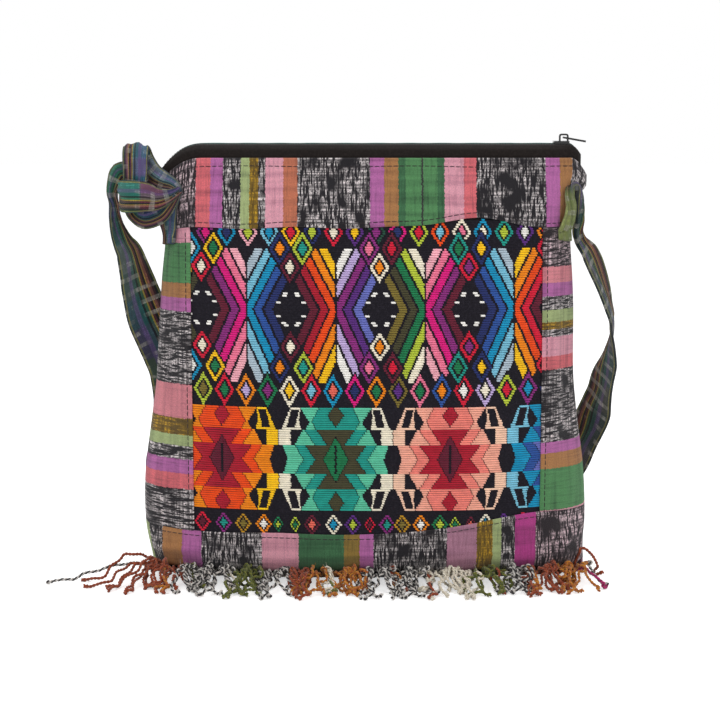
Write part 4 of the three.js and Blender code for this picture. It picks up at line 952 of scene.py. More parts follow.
@dataclass
class BrocadePanel:
    """The brocade: a black ground cloth, and coloured yarn that is laid in row by row.

    The pattern is worked out by rule. A row of black eyes stands between arrow-shaped
    strips, small lozenges fill the space above and below them, and a row of large stars
    with hooks stands under that.
    """

    form: BagForm
    left: float = -103.2
    right: float = 100.2
    bottom: float = 28.6
    top: float = 215.4
    row_pitch: float = 1.3
    sample: float = 0.5
    ground: float = 0.9
    ground_bottom: float = 25
    ground_top: float = 213
    rise: float = 0.8
    end_gap: float = 0.05
    eye_spacing: float = 51.3
    eye_offset: float = 6.2
    eye_row: float = 162.4
    strip_edges: tuple[tuple[float, float], ...] = ((10.7, 15.7), (16.8, 21.4), (22.2, 27), (28, 32.8), (33.9, 39))
    slope_up: float = 1.9
    slope_down: float = 2.2
    strips_rise: float = 34.5
    strips_fall: float = 42
    lozenge: tuple[float, float] = (6, 9)
    low_lozenge: tuple[float, float] = (5.9, 10)
    star_spacing: float = 66.2
    star_offset: float = -19.6
    star_row: float = 75.4
    star_half_height: float = 31

    def strip_dyes(self) -> list[list[Thread]]:
        """Dyes from the inside out of each half of an eye: left and right of eyes 1 to 5."""
        t = Thread
        warm = [t.MAROON, t.CRIMSON, t.ORANGE_RED, t.ORANGE, t.YELLOW]
        cool = [t.NAVY, t.BLUE, t.CYAN, t.LIGHT_BLUE, t.GREY_BLUE]
        rose = [t.MAROON, t.PLUM, t.MAGENTA, t.PINK, t.LIGHT_PINK]
        return [
            [t.DARK_OLIVE, t.MUSTARD, t.ORANGE, t.YELLOW, t.CREAM], rose,
            cool, warm,
            [t.PERIWINKLE, t.PURPLE, t.PLUM, t.LILAC, t.WHITE],
            [t.OLIVE, t.DARK_OLIVE, t.GREEN, t.LIME, t.CREAM],
            rose, cool,
            [t.MAROON, t.RED, t.ORANGE_RED, t.ORANGE, t.YELLOW], warm,
        ]

    def paint_lozenge(
        self, dyes: np.ndarray, x: np.ndarray, z: np.ndarray, at: tuple[float, float], half: tuple[float, float],
        pair: tuple[Thread, Thread],
    ) -> None:
        """Lays one small lozenge: |dx|/half width + |dz|/half height is below 1.14 for its
        black surround, 1 for its outline, 0.64 for the black inside and 0.48 for its core."""
        reach = np.abs(x - at[0]) / half[0] + np.abs(z - at[1]) / half[1]
        for limit, dye in ((1.14, 0), (1.0, pair[0].number), (0.64, 0), (0.48, pair[1].number)):
            dyes[reach < limit] = dye

    def paint_strips(self, dyes: np.ndarray, x: np.ndarray, z: np.ndarray) -> None:
        """Lays the arrow-shaped strips: s = dx + |dz|/slope lies between a strip's edges, up
        to the half-way line between two eyes, and under the lines that the lozenges leave."""
        number = np.clip(np.round((x - self.eye_offset) / self.eye_spacing), -2, 2)
        from_eye = x - self.eye_offset - number * self.eye_spacing
        dx, dz = np.abs(from_eye), np.abs(z - self.eye_row)
        above = z > self.eye_row
        s = dx + dz / np.where(above, self.slope_up, self.slope_down)
        kept = np.where(above, dz < 12.7 + 1.6 * dx, dz < 16.5 + 1.62 * dx)
        kept &= np.where(above, dz < self.strips_rise, dz < self.strips_fall) & (dx < 25.3)
        half = ((number + 2) * 2 + (from_eye > 0)).astype(int)
        for strip, (inner, outer) in enumerate(self.strip_edges):
            inside = kept & (s > inner) & (s < outer)
            choice = np.array([side[strip].number for side in self.strip_dyes()])
            dyes[inside] = choice[half[inside]]

    def paint_eyes(self, dyes: np.ndarray, x: np.ndarray, z: np.ndarray) -> None:
        """Lays eight white dashes in a ring in each black eye."""
        for eye in range(-2, 3):
            for across, up in ((3.5, 8.6), (7.4, 3.8), (7.4, -3.8), (3.5, -8.6)):
                for side in (-1, 1):
                    dx = x - (self.eye_offset + eye * self.eye_spacing + side * across)
                    dz = z - self.eye_row - up
                    slant = 0.7 * side * math.copysign(1, up) * dz
                    dyes[(np.abs(dx + slant) < 1.5) & (np.abs(dz) < 1.05)] = Thread.WHITE.number

    def paint_lozenges(self, dyes: np.ndarray, x: np.ndarray, z: np.ndarray) -> None:
        """Lays the rows of small lozenges above and below the eyes."""
        t = Thread
        top_row = [
            (t.PLUM, t.MAGENTA), (t.CYAN, t.NAVY), (t.LIGHT_PINK, t.LIME), (t.LIGHT_BLUE, t.CYAN), (t.YELLOW, t.RED),
            (t.NAVY, t.LIME), (t.RED, t.CREAM), (t.PURPLE, t.YELLOW), (t.DARK_GREEN, t.PLUM), (t.MAGENTA, t.NAVY),
            (t.LIME, t.RED), (t.ORANGE_RED, t.LIGHT_BLUE), (t.CREAM, t.PINK), (t.CYAN, t.CREAM), (t.TEAL, t.LIME),
            (t.PURPLE, t.WHITE), (t.ORANGE, t.RED),
        ]
        second_row = [
            (t.CYAN, t.WHITE), (t.YELLOW, t.GREEN), (t.NAVY, t.ORANGE), (t.LIME, t.TEAL), (t.PLUM, t.PINK),
            (t.MAROON, t.RED), (t.TEAL, t.GREEN), (t.NAVY, t.YELLOW), (t.RED, t.WHITE), (t.ORANGE, t.PLUM),
        ]
        third_row = [(t.RED, t.CREAM), (t.MAROON, t.CREAM), (t.CREAM, t.ORANGE), (t.RED, t.PLUM), (t.RED, t.CREAM)]
        low_row = [
            (t.LIME, t.OLIVE), (t.RED, t.GREEN), (t.ORANGE, t.LILAC), (t.GREEN, t.PLUM), (t.CREAM, t.YELLOW),
            (t.RED, t.LIGHT_BLUE), (t.CYAN, t.CORAL), (t.MAGENTA, t.NAVY), (t.ORANGE, t.GREEN), (t.OLIVE, t.PURPLE),
            (t.PINK, t.GREEN), (t.BLUE, t.ORANGE), (t.RED, t.WHITE), (t.LILAC, t.CREAM), (t.LIME, t.RED),
            (t.PLUM, t.CYAN), (t.NAVY, t.LIME),
        ]
        for i, pair in enumerate(top_row):
            self.paint_lozenge(dyes, x, z, (i * 12.25 - 94.3, 206.2), (5.8, 8.6), pair)
        for i, pair in enumerate(low_row):
            self.paint_lozenge(dyes, x, z, (i * 12.55 - 96.6, 115.6), self.low_lozenge, pair)
        for i, pair in enumerate(second_row):
            eye = self.eye_offset + (i // 2 - 2) * self.eye_spacing
            side = 2 * (i % 2) - 1
            self.paint_lozenge(dyes, x, z, (eye + side * 6.5, 196.9), (6.1, 9.8), pair)
            self.paint_lozenge(dyes, x, z, (eye + side * 6.8, 129), (6, 9.6), pair)
        for i, pair in enumerate(third_row):
            eye = self.eye_offset + (i - 2) * self.eye_spacing
            self.paint_lozenge(dyes, x, z, (eye - 0.6, 186.4), self.lozenge, pair)
            self.paint_lozenge(dyes, x, z, (eye - 0.6, 141), self.lozenge, pair)

    def paint_stars(self, dyes: np.ndarray, x: np.ndarray, z: np.ndarray) -> None:
        """Lays the large stars: bands of straight-edged fields about a heart lozenge, which
        step outwards by height, and a hook at each corner with a slanted eye in it."""
        t = Thread
        families = [
            (t.MAROON, t.CRIMSON, t.ORANGE_RED, t.ORANGE, t.YELLOW),
            (t.GREEN, t.DARK_OLIVE, t.TEAL, t.MINT, t.CREAM),
            (t.MAROON, t.CRIMSON, t.SALMON, t.LIGHT_SALMON, t.PEACH),
            (t.NAVY, t.PERIWINKLE, t.BLUE, t.CYAN, t.LIGHT_BLUE),
        ]
        number = np.clip(np.round((x - self.star_offset) / self.star_spacing), -1, 2)
        dx = np.abs(x - self.star_offset - number * self.star_spacing)
        dz = np.abs(z - self.star_row)
        row = (number + 1).astype(int)
        choice = np.array([[dye.number for dye in family] for family in families])
        inside = dz < self.star_half_height
        field = np.full(x.shape, -1)
        waist, shoulder = 8.4, 17.8
        low, middle, high = dz <= waist, (dz > waist) & (dz <= shoulder), (dz > shoulder) & inside
        up = (dz - waist) / (shoulder - waist)
        rise = (dz - shoulder) / (self.star_half_height - shoulder)
        crest = 1 - np.abs(2 * rise - 0.7) / 1.3
        for zone, limits in (
            (low, (11.7 + 0.72 * dz, 18.6 + 0.6 * dz, 28.1 + 0.3 * dz)),
            (middle, (4.8 + 6.5 * up, 11.7 + 6.5 * up, 24 - 5 * up)),
            (high, (4.6 * (1 - np.abs(dz - 25.8) / 6.7), 9.4 + 4.4 * crest, 15.3 + 4.1 * np.abs(2 * rise - 0.6))),
        ):
            for number_in_family, limit in zip((3, 2, 1), reversed(limits)):
                field = np.where(zone & (dx < limit), number_in_family, field)
        hook_inside = 19.8 + 1.2 * np.sin(math.pi * rise)
        hooks = (middle & (dx > 26) & (dx < 33.6)) | (high & (dx > hook_inside) & (dx < 31.6 - 5.6 * rise))
        hole = high & (np.abs(dx - 25 + 0.25 * (dz - 23)) < 2.1) & (dz > 18.6) & (dz < 29)
        field = np.where(hooks & (field < 0), 4, field)
        field = np.where(hole, -1, field)
        line = (np.abs(dz - waist) < 0.5) & (dx < 12) & (np.round(dx / 2.2) % 2 == 0)
        field = np.where(line, -1, field)
        heart = dx / 7.3 + dz / 13.8
        field = np.where(heart < 1, 0, field)
        field = np.where((heart < 1) & (dx < 0.45) & (dz < 9), -1, field)
        painted = inside & (field >= 0)
        dyes[inside] = 0
        dyes[painted] = choice[row[painted], field[painted]]

    def paint_foot(self, dyes: np.ndarray, x: np.ndarray, z: np.ndarray) -> None:
        """Lays the lowest row, of small lozenges just above the bottom band, five of them narrow."""
        t = Thread
        pairs = [
            (t.RED, t.MAROON), (t.PLUM, t.TEAL), (t.MUSTARD, t.OLIVE), (t.ORANGE, t.WHITE), (t.GREEN, t.LIME),
            (t.LIME, t.GREEN), (t.MAROON, t.CORAL), (t.CREAM, t.CYAN), (t.PURPLE, t.LIME),
        ]
        places = (
            -98.3, -85.7, -74.1, -62, -53.6, -43.6, -33.8, -21.3, -9.9, 0,
            10.1, 18.8, 29.7, 40.9, 49.6, 58.9, 67.7, 78.3, 89.7,
        )
        narrow = (4, 5, 9, 14, 15)
        for i, place in enumerate(places):
            half = (3.2, 5.2) if i in narrow else (5, 6.8)
            self.paint_lozenge(dyes, x, z, (place, 36.4), half, pairs[i % len(pairs)])

    def pattern(self, x: np.ndarray, z: np.ndarray) -> np.ndarray:
        """The number of the yarn's dye at each place, with 0 for the black ground."""
        dyes = np.zeros(x.shape, int)
        for paint in (self.paint_strips, self.paint_eyes, self.paint_lozenges, self.paint_stars, self.paint_foot):
            paint(dyes, x, z)
        return dyes

    def floats(self) -> bpy.types.Object:
        """The laid-in yarn: each run of one dye in a row is a float that lies on the cloth,
        with a cross-section like a low arch, and dips into the cloth at both ends."""
        rows = np.arange(self.bottom, self.top, self.row_pitch)
        places = np.arange(self.left, self.right, self.sample)
        x, z = np.meshgrid(places, rows)
        dyes = self.pattern(x + 0.25 * wander(z * 3.1), z)
        edge = np.ones((len(rows), 1), bool)
        change = np.concatenate([edge, dyes[:, 1:] != dyes[:, :-1], edge], 1)
        row, spot = np.nonzero(change)
        same_row = row[1:] == row[:-1]
        row, start, end = row[:-1][same_row], spot[:-1][same_row], spot[1:][same_row]
        dye = dyes[row, start]
        coloured = (dye > 0) & (end - start >= 2)
        row, start, end, dye = (v[coloured] for v in (row, start, end, dye))
        left = self.left + start * self.sample + self.end_gap
        right = self.left + end * self.sample - self.end_gap
        reach = np.minimum(0.7, (right - left) * 0.3)
        offsets = np.stack([0 * reach, reach, right - left - reach, right - left], 1)
        columns = left[:, None, None] + offsets[:, :, None]
        across = np.array([-0.5, -0.24, 0.24, 0.5]) * self.row_pitch * 0.98
        arch = np.array([0.0, 0.85, 1.0, 0.1])
        full = np.array([0.1, 1.0, 1.0, 0.1])
        thick = 1 + 0.12 * wander(row * 7.7 + start)
        heights = rows[row][:, None, None] + across[None, None, :]
        lift = self.ground - 0.15 + (self.rise * thick)[:, None, None] * full[None, :, None] * arch[None, None, :]
        columns, heights = np.broadcast_arrays(columns, heights)
        place, normal = self.form.front_surface()(columns, heights)
        points = place + normal * np.broadcast_to(lift, columns.shape)[..., None]
        count = len(row)
        under_and_ends = np.array([[0, 12, 15, 3], [0, 3, 2, 1], [12, 13, 14, 15]])
        one = np.concatenate([grid_faces(4, 4)[:, ::-1], under_and_ends])
        faces = (one[None] + (np.arange(count) * 16)[:, None, None]).reshape(-1, 4)
        palette = np.array([rgb(thread.value) for thread in Thread])
        tone = 1 + 0.07 * wander(row * 3.3 + start * 1.7)
        tint = palette[dye] * np.stack([tone, tone, tone, np.ones(count)], -1)
        tint = np.repeat(tint, 16, axis=0)
        material = YarnFinish("Brocade yarn", 0.14).material()
        piece = make_piece("brocade_yarn", points.reshape(-1, 3), [faces], material, tint=tint)
        return fit(piece, "brocade")

    def ground_cloth(self) -> bpy.types.Object:
        """The black cloth that carries the yarn, lapped under the bands."""
        reach = self.form.panel_half_width
        columns = np.linspace(-reach, reach, 110)[None, :]
        rows = np.linspace(self.ground_bottom, self.ground_top, 100)[:, None]
        points, faces, _, _ = cloth_sheet(self.form.front_surface(), columns, rows, 0.0, self.ground, 1)
        finish = PlainClothFinish("Black ground cloth", Thread.BLACK.value, self.row_pitch)
        piece = make_piece("brocade_ground", points, faces, finish.material())
        return fit(piece, "brocade", "brocade_panel")

    def build(self) -> None:
        """Makes the ground cloth with its yarn."""
        yarn, ground = self.floats(), self.ground_cloth()


@dataclass
class BackPanel:
    """The ikat cloth of the back, which also turns under the bag, and the lining inside."""

    form: BagForm
    inner: float = 1.2
    outer: float = 2.4

    def finish(self) -> IkatFinish:
        """Stripes of the same cloth, run upwards."""
        s = Stripe
        stripes = (
            (20, s.IKAT), (9, s.CORAL), (8, s.ORCHID), (34, s.IKAT), (9, s.PALE_GREEN), (5, s.YELLOW_BLACK),
            (20, s.LIGHT_PINK), (26, s.DARK_GREEN), (8, s.TAN), (9, s.ORCHID), (42, s.IKAT), (12, s.SALMON),
            (6, s.YELLOW_BLACK), (10, s.GREEN), (36, s.PINK_IKAT), (20, s.MAUVE),
        )
        return IkatFinish("Ikat of the back", -135, stripes, 21.7)

    def build(self) -> None:
        """Makes the back cloth and the lining."""
        seam = self.form.half_width
        columns = np.linspace(-seam, seam, 150)[None, :]
        under = np.linspace(-1, -1e-3, 16)
        turn = self.form.base_rounding * np.array([0, 0.02, 0.06, 0.13, 0.25, 0.45, 0.7])
        up = np.linspace(self.form.base_rounding, self.form.height - self.form.skin, 110)
        rows = np.concatenate([under, turn, up])[:, None]
        points, faces, c, v = cloth_sheet(self.form.back_surface(), columns, rows, self.inner, self.outer, -1)
        along = np.where(v < 0, v * (self.form.base_back - self.form.base_start), v)
        uv = np.stack([c, along], -1) * MM
        piece = make_piece("back_panel_cloth", points, faces, self.finish().material(), uv=uv)
        fit(piece, "ikat_striped", "back_panel")
        self.lining(columns, np.concatenate([under, turn, up[:-2]])[:, None])

    def lining(self, columns: np.ndarray, back_rows: np.ndarray) -> None:
        """Makes the lining: two cloths that hang just inside the bag, a little below its mouth."""
        form = self.form
        front_rows = np.linspace(form.seam_height + 2, form.height - 3, 70)[:, None]
        front_wall = form.with_normals(form.front, 1, (form.height / 2, 1e-3))
        inner, outer, sparse = -1.6, -0.9, columns[:, 1:-1:3]
        front = cloth_sheet(front_wall, sparse, front_rows, inner, outer, 1)[:2]
        back = cloth_sheet(form.back_surface(), sparse, back_rows, inner, outer, -1)[:2]
        material = PlainClothFinish("Plain dark lining", 0x2A2826, 0.6).material()
        piece = make_piece("lining_cloth", *joined(front, back), material)
        fit(piece, "lining", "lining")


@dataclass
class Zipper:
    """Tapes, two rows of coil teeth, the slider and its pull tab."""

    form: BagForm
    rise: float = 7.5
    end: float = 122
    tooth_pitch: float = 1.5
    row_outside: float = 1.85
    tooth_height: float = 2.0
    wire: float = 0.34
    tape_inside: float = 2.15
    tape_flat: float = 5.4
    tape_tuck: float = 9
    tape_cloth: float = 0.6
    slider_rest: float = 111.5
    wedge: float = 0.72
    tape_above: float = 0.9
    head_past_middle: float = 0.25

    def side_name(self, side: int) -> str:
        """What the nodes of a side are called."""
        return "front" if side < 0 else "back"

    def chain_at(self, x: np.ndarray) -> np.ndarray:
        """Height of the middle of the chain."""
        return self.form.height + self.rise - self.form.mouth_drop(x)

    def tape(self, side: int) -> None:
        """A tape: level beside the coil, over a soft fold to the cloth's hem, and down behind
        it. Its profile is a line through six corners that move with x."""
        form = self.form
        lift = self.tape_above - self.tape_cloth

        def across(x: np.ndarray, v: np.ndarray) -> np.ndarray:
            """The tape's place at x and at v from 0 beside the coil to 5 at its lower edge."""
            z = form.height
            hem = form.seam_gap / 2 + form.mouth_half_depth * form.depth_share(x, z + 0 * x)
            low = z - self.tape_tuck + 0 * x
            base = (form.base_front, form.seam_height) if side < 0 else (form.base_back, form.skin)
            tuck = form.seam_gap / 2 + form.wall_depth(*base, low) * form.depth_share(x, low)
            flat = np.minimum(self.tape_flat, self.tape_inside + 0.8 * (hem - self.tape_inside))
            drop = form.mouth_drop(x)
            low_drop = drop * smoothstep(0.75 * form.height, form.height, low)
            top = self.chain_at(x) - self.tape_cloth / 2 - lift
            inner = self.tape_inside + 0 * x
            outs = np.stack([inner, flat, flat + 0.7 * (hem - flat), hem, hem, tuck], -1)
            fold = z + 0.15 * self.rise - drop
            ups = np.stack([top, top, top - 0.3 * self.rise, fold, z - drop, low - low_drop], -1)
            k = np.clip(v.astype(int), 0, 4)[..., None]
            t = v - k[..., 0]
            y, up = (
                (1 - t) * np.take_along_axis(rows, k, -1)[..., 0] + t * np.take_along_axis(rows, k + 1, -1)[..., 0]
                for rows in (outs, ups)
            )
            return np.stack([x, side * y, up], -1)

        columns = np.linspace(-self.end, self.end, 150)[None, :]
        rows = np.linspace(0, 5, 21)[:, None]
        surface = form.with_normals(across, side, (2.5, 1e-3))
        points, faces, _, _ = cloth_sheet(surface, columns, rows, lift, self.tape_above, side)
        name = self.side_name(side)
        material = PlainClothFinish(f"Zipper tape {name}", 0x17110F, 0.55).material()
        fit(make_piece(f"zipper_tape_{name}_cloth", points, faces, material), "zipper_tape", f"zipper_tape_{name}")

    def coil(self, side: int) -> None:
        """A row of teeth: each is a loop of wire that leaves the tape above, runs to the
        middle, turns down round its head and runs back below."""
        count = int(2 * self.end / self.tooth_pitch)
        x = -self.end + self.tooth_pitch * (np.arange(count) + (0.5 if side > 0 else 0.0)) + 0.4
        parted = smoothstep(self.slider_rest - 4, self.slider_rest + 1, x)
        head = parted * (self.wedge + 0.3) - self.head_past_middle
        half = self.tooth_height / 2 - self.wire
        turn = np.linspace(0, math.pi, 6)
        outs = np.concatenate([[1.0, 0.55], 0.14 - 0.14 * np.sin(turn), [0.55, 1.0]])
        ups = np.concatenate([[1.0, 1.0], np.cos(turn), [-1.0, -1.0]])
        leans = np.linspace(-0.3, 0.3, len(outs))
        reach = self.row_outside - self.wire - head
        y = side * (head[:, None] + outs[None] * reach[:, None])
        z = self.chain_at(x)[:, None] + ups[None] * half
        paths = np.stack(np.broadcast_arrays(x[:, None] + leans[None], y, z), -1)
        teeth = tubes(paths, self.wire, 5, np.array([1.0, 0, 0]))
        cord_x = np.linspace(-self.end, self.end, 240)
        cord = np.stack([cord_x, side * (0.9 + 0 * cord_x), self.chain_at(cord_x)], -1)[None]
        core = tubes(cord, 0.45, 6, np.array([0, 1.0, 0]))
        name = self.side_name(side)
        material = HardFinish(f"Black nylon coil {name}", 0x0E0E10, 0.38).material()
        piece = make_piece(f"zipper_coil_{name}_teeth", *joined(teeth, core), material)
        fit(piece, "zipper_coil", f"zipper_coil_{name}")

    def piping(self) -> None:
        """The thin teal thread that runs along the back tape, above the chain."""
        x = np.linspace(-self.end, self.end, 300)
        path = np.stack([x, 3.1 + 0 * x, self.chain_at(x) + 0.65 + 0.06 * np.sin(x / 3)], -1)[None]
        points, faces = tubes(path, 0.34, 6, np.array([0, 1.0, 0]))
        tint = np.tile(rgb(0x2C8C80), (len(points), 1))
        material = YarnFinish("Teal edge thread").material()
        fit(make_piece("zipper_tape_edge_thread", points, faces, material, tint=tint), "zipper_tape")

    def build(self) -> None:
        """Makes the tapes and teeth, and dresses the slider and its pull tab."""
        for side in (-1, 1):
            self.tape(side)
            self.coil(side)
        self.piping()
        enamel = HardFinish("Black enamel", 0x0C0D0F, 0.3, 0.35, 0.5).material()
        for node in ("slider_body", "pull_tab"):
            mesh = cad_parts[node].data
            mesh.materials.clear()
            mesh.materials.append(enamel)


@dataclass
class Strap:
    """The long cloth strap: sewn and knotted at the left seam, fallen behind the bag, where
    its spare length lies folded, and up to its sewn tab at the right seam."""

    form: BagForm
    width: float = 26
    cloth: float = 2.2
    gather_thick: float = 3
    back: float = 51
    fold_half_length: float = 96
    step: float = 1.6
    section: int = 36

    def sewn(self, side: int, column: float, z: float, wide: float) -> tuple[float, ...]:
        """A station where the strap is sewn on, flat on the front cloth."""
        at, out = self.form.front_surface()(np.array([side * column]), np.array([z]))
        spot = at[0] + out[0] * (self.form.skin + 0.7 + self.gather_thick / 2)
        turn = math.atan2(out[0][1], out[0][0]) - math.pi / 2
        return (*spot, math.cos(turn), math.sin(turn), 0, wide, self.gather_thick)

    def stations(self) -> np.ndarray:
        """The strap's route: place, direction of its width, width and thickness, as rows."""
        seam, h = self.form.half_width, self.form.height
        w, t, back, reach = self.width, self.cloth, self.back, self.fold_half_length
        rise = [t / 2 + k * (t + 0.4) for k in range(3)]

        def level(x: float, y: float, z: float, turn: float, wide: float = w, thick: float = t) -> tuple[float, ...]:
            """A station whose width lies level: turn is 0 where it faces front, 90 edge on."""
            angle = math.radians(turn)
            return (x, y, z, math.cos(angle), math.sin(angle), 0, wide, thick)

        def upright(x: float, y: float, z: float, lean: float, wide: float, thick: float = 3) -> tuple[float, ...]:
            """A station that faces front: lean is 0 where its width hangs down, negative
            where that leans to the left, so that at -90 it points left."""
            angle = math.radians(lean)
            return (x, y, z, math.sin(angle), 0, -math.cos(angle), wide, thick)

        def fold_turn(side: int, k: int) -> list[tuple[float, ...]]:
            """Stations round the turn of a fold from layer k to the next."""
            radius = (rise[1] - rise[0]) / 2
            angles = [math.radians(a) for a in (-90, -45, 0, 45, 90)]
            return [
                level(side * (reach + radius * math.cos(a)), back, rise[k] + radius * (1 + math.sin(a)), 90)
                for a in angles
            ]

        tail = [
            self.sewn(-1, 0.925 * seam, h - 49, 9),
            self.sewn(-1, 0.93 * seam, h - 44, 9.5),
            level(-117, -12.5, 212, 163, 11),
            *(upright(*row) for row in (
                (-116.5, -14, 218, -96, 11), (-113.6, -15, 224, -112, 8.5, 3.6), (-110, -15.5, 230, -90, 5.5, 4.5),
            )),
        ]
        top_loop = [upright(*row) for row in (
            (-113.5, -15, 233.5, -37, 8, 3.6), (-118.7, -14, 235.5, -8, 11), (-125, -12, 239, -30, 13),
            (-130, -9, 245, -53, 14), (-133, -8.5, 251, -84, 15), (-133.8, -13, 255, -90, 15),
            (-133.8, -18, 251.5, -90, 15), (-133.8, -19.5, 245, -90, 14.5), (-134, -19.5, 238, -90, 14),
            (-135, -17, 229, -90, 13), (-136.5, -14.5, 220.5, -80, 10, 4),
        )]
        sweep = [upright(*row) for row in (
            (-134, -14, 215.5, -30, 10, 4), (-129, -16.5, 213.8, 0, 12), (-121.5, -17, 216.3, 27, 12),
            (-115.6, -17.5, 222, 41, 9.5), (-110, -18.5, 229.3, 41, 5.5, 4.5),
        )]
        wrap = [upright(*row) for row in (
            (-115.5, -19.5, 226.8, 17, 9, 3.6), (-122, -21, 225.6, 6, 13.5), (-129, -24, 226.8, 0, 17.5),
            (-136, -25, 227, 0, 18.5), (-141, -21.5, 227, 0, 18.5), (-142.8, -14.5, 227.5, 0, 16),
            (-141, -9.5, 231, -37, 12, 4), (-139, -8.5, 236.5, -72, 12, 4), (-140, -8.5, 240.5, -45, 12, 3.6),
            (-143.7, -9.5, 239.5, 6, 12.5), (-147, -9.5, 234, 60, 9.5), (-148.8, -8.5, 227.5, 87, 6.5, 3.6),
        )]
        left = [
            *(level(*row) for row in (
                (-148.6, -7, 221.5, 35, 5.5, 3.8), (-148.4, -6, 216.4, 35, 6.5, 3.4), (-147.5, -5, 210.3, 40, 8.5, 3),
                (-145.8, -4, 204.2, 42, 11.5, 2.6), (-143.5, -3, 198.2, 42, 14.5, 2.4), (-141, -1.5, 192.7, 43, 18),
                (-138.9, 0, 183, 44, 21.5), (-136.7, 2, 171.3, 42, 25), (-132, 8, 153, 26), (-127.5, 13, 140.4, 20),
                (-123.5, 18, 128.4, 14), (-120.5, 23, 116.5, 8), (-119.5, 28, 101.6, 14), (-122.5, 34, 78, 25),
                (-127, 40, 58, 32), (-128, 46, 38, 40), (-123.5, 50, 21, 70), (-118, back, 11, 90),
                (-(seam - 17), back, 4, 90), (-(reach - 4), back, rise[0], 90), (0, back, rise[0], 90),
            )),
            *fold_turn(1, 0),
            level(0, back, rise[1], 90),
            *fold_turn(-1, 1),
            level(0, back, rise[2], 90),
        ]
        right = [
            *(level(*row) for row in (
                (reach, back, rise[2], 90), (seam - 22, back, 11, 90), (seam - 14, 50, 24, 95),
                (seam - 9, 47, 40, 108), (127, 44, 52, 118), (133, 39, 69, 123), (137, 35, 81.6, 127),
                (140, 30, 94, 124), (141.8, 26.5, 102.6, 115), (143.3, 22, 115, 108), (145.4, 18, 127.5, 98),
                (146.4, 14, 140, 86), (145.8, 11, 150, 78), (142.6, 8.5, 160.7, 71.6), (136.3, 6, 177, 62, 24),
                (129.2, 3, 192, 55, 20), (123.6, 1.5, 200.5, 56, 11, 2.8), (122.2, 0, 205.6, 57, 7.5, 3.2),
                (122.8, -2, 211.5, 60, 6.5, 3.2), (122.5, -4, 219, 65, 6, 3.4), (121.3, -6, 226.3, 80, 5.5, 3.6),
                (118.8, -9, 231.5, 125, 5.5, 4), (116.2, -12, 231, 160, 5.5, 4), (115.4, -13, 226.5, 190, 5.5, 3.6),
                (116.3, -12.8, 221, 205, 6.5, 3), (116, -12.5, 215, 212, 7.5, 2.8), (114.7, -13, 210, 215, 8.5, 2.6),
            )),
            self.sewn(1, 0.9 * seam, 205.5, 9.5),
            self.sewn(1, 0.892 * seam, 200.5, 9),
        ]
        return np.array(tail + top_loop + sweep + wrap + left + right, float)

    def dyed(self, along: np.ndarray, whole: float) -> np.ndarray:
        """The field colour at each length along the strap, and in alpha how far it covers the
        stripes: the knot and the left fall first, then the last stretches over and over, and
        the pale green tab at the last end."""
        stretches = [
            (14, 0x5C7E9A), (20, 0x4E6C94), (14, 0x7A96B4), (12, 0x8E9EB0), (12, 0x2E5A50), (10, 0x5A86A8),
            (10, 0x8A76B8), (14, 0x3F7FA0), (12, 0x2A6A66), (12, 0x3A4A86), (14, 0x30447A), (12, 0x54407E),
            (14, 0xA8607E), (12, 0x3FA088), (14, 0x2E9A7C), (12, 0x7FA09A), (14, 0x3E9068), (14, 0x5A6A94),
            (16, 0x35594A), (18, 0x6F7A6A), (16, 0x46604A), (20, 0x2C5A60), (22, 0x54466A), (24, 0x4A5A34),
            (26, 0x5E5A3C), (24, 0x34523A), (22, 0x6A6458), (26, 0x3C4A2C),
        ]
        lengths = np.array([length for length, _ in stretches], float)
        ends = np.cumsum(lengths)
        repeat = 90
        past = ends[-1] + (along - ends[-1]) % repeat - repeat - 0.01
        where = np.searchsorted(ends, np.minimum(along, past), side="right")
        field = np.array([rgb(color) for _, color in stretches])[np.clip(where, 0, len(stretches) - 1)]
        field[:, 3] = 0
        tab = smoothstep(whole - 34, whole - 28, along)[:, None]
        pale = np.array([*rgb(0xB9C878)[:3], 0.9])
        return field * (1 - tab) + pale * tab

    def build(self) -> None:
        """Makes the strap: a flat tube whose section is a squared ellipse, drawn together in
        pleats where it is narrow, carried along a smooth line through the stations."""
        stations = self.stations()
        gaps = np.linalg.norm(np.diff(stations[:, :3], axis=0), axis=1)
        at = np.concatenate([[0], np.cumsum(np.maximum(gaps, 0.2))])
        count = int(at[-1] / self.step)
        s = np.unique(np.concatenate([np.linspace(0, at[-1], count), at]))
        line = np.stack([SmoothLine(at, stations[:, k])(s) for k in range(8)], -1)
        path, wanted, width, thick = line[:, :3], line[:, 3:6], line[:, 6], line[:, 7]
        along = unit(np.gradient(path, s, axis=0))
        across = unit(wanted - along * (wanted * along).sum(-1, keepdims=True))
        through = np.cross(along, across)
        angle = np.linspace(0, 2 * math.pi, self.section, endpoint=False)[None, :]
        gathered = smoothstep(self.width, 0.5 * self.width, width)[:, None]
        cos, sin = np.cos(angle), np.sin(angle)
        side = np.sign(cos) * np.abs(cos) ** 0.85
        face = np.sign(sin) * np.abs(sin) ** 0.45
        free = (smoothstep(12, 30, path[:, 2]) * smoothstep(0, 25, s) * smoothstep(at[-1], at[-1] - 25, s))[:, None]
        pleats = 0.75 * gathered * np.cos(7 * angle + s[:, None] / 6) * np.abs(sin)
        ripple = free * 0.7 * np.sin(3.2 * side + s[:, None] / 8 + 2 * np.sin(s[:, None] / 31))
        cup = free * (1 - gathered) * 1.6 * (side**2 - 0.4) * np.sin(s[:, None] / 43 + 1)
        out = side * width[:, None] / 2
        up = face * thick[:, None] / 2 + pleats * np.sign(sin) + ripple + cup
        points = path[:, None] + across[:, None] * out[..., None] + through[:, None] * up[..., None]
        rows = len(s)
        ends = points[[0, -1]].mean(1)
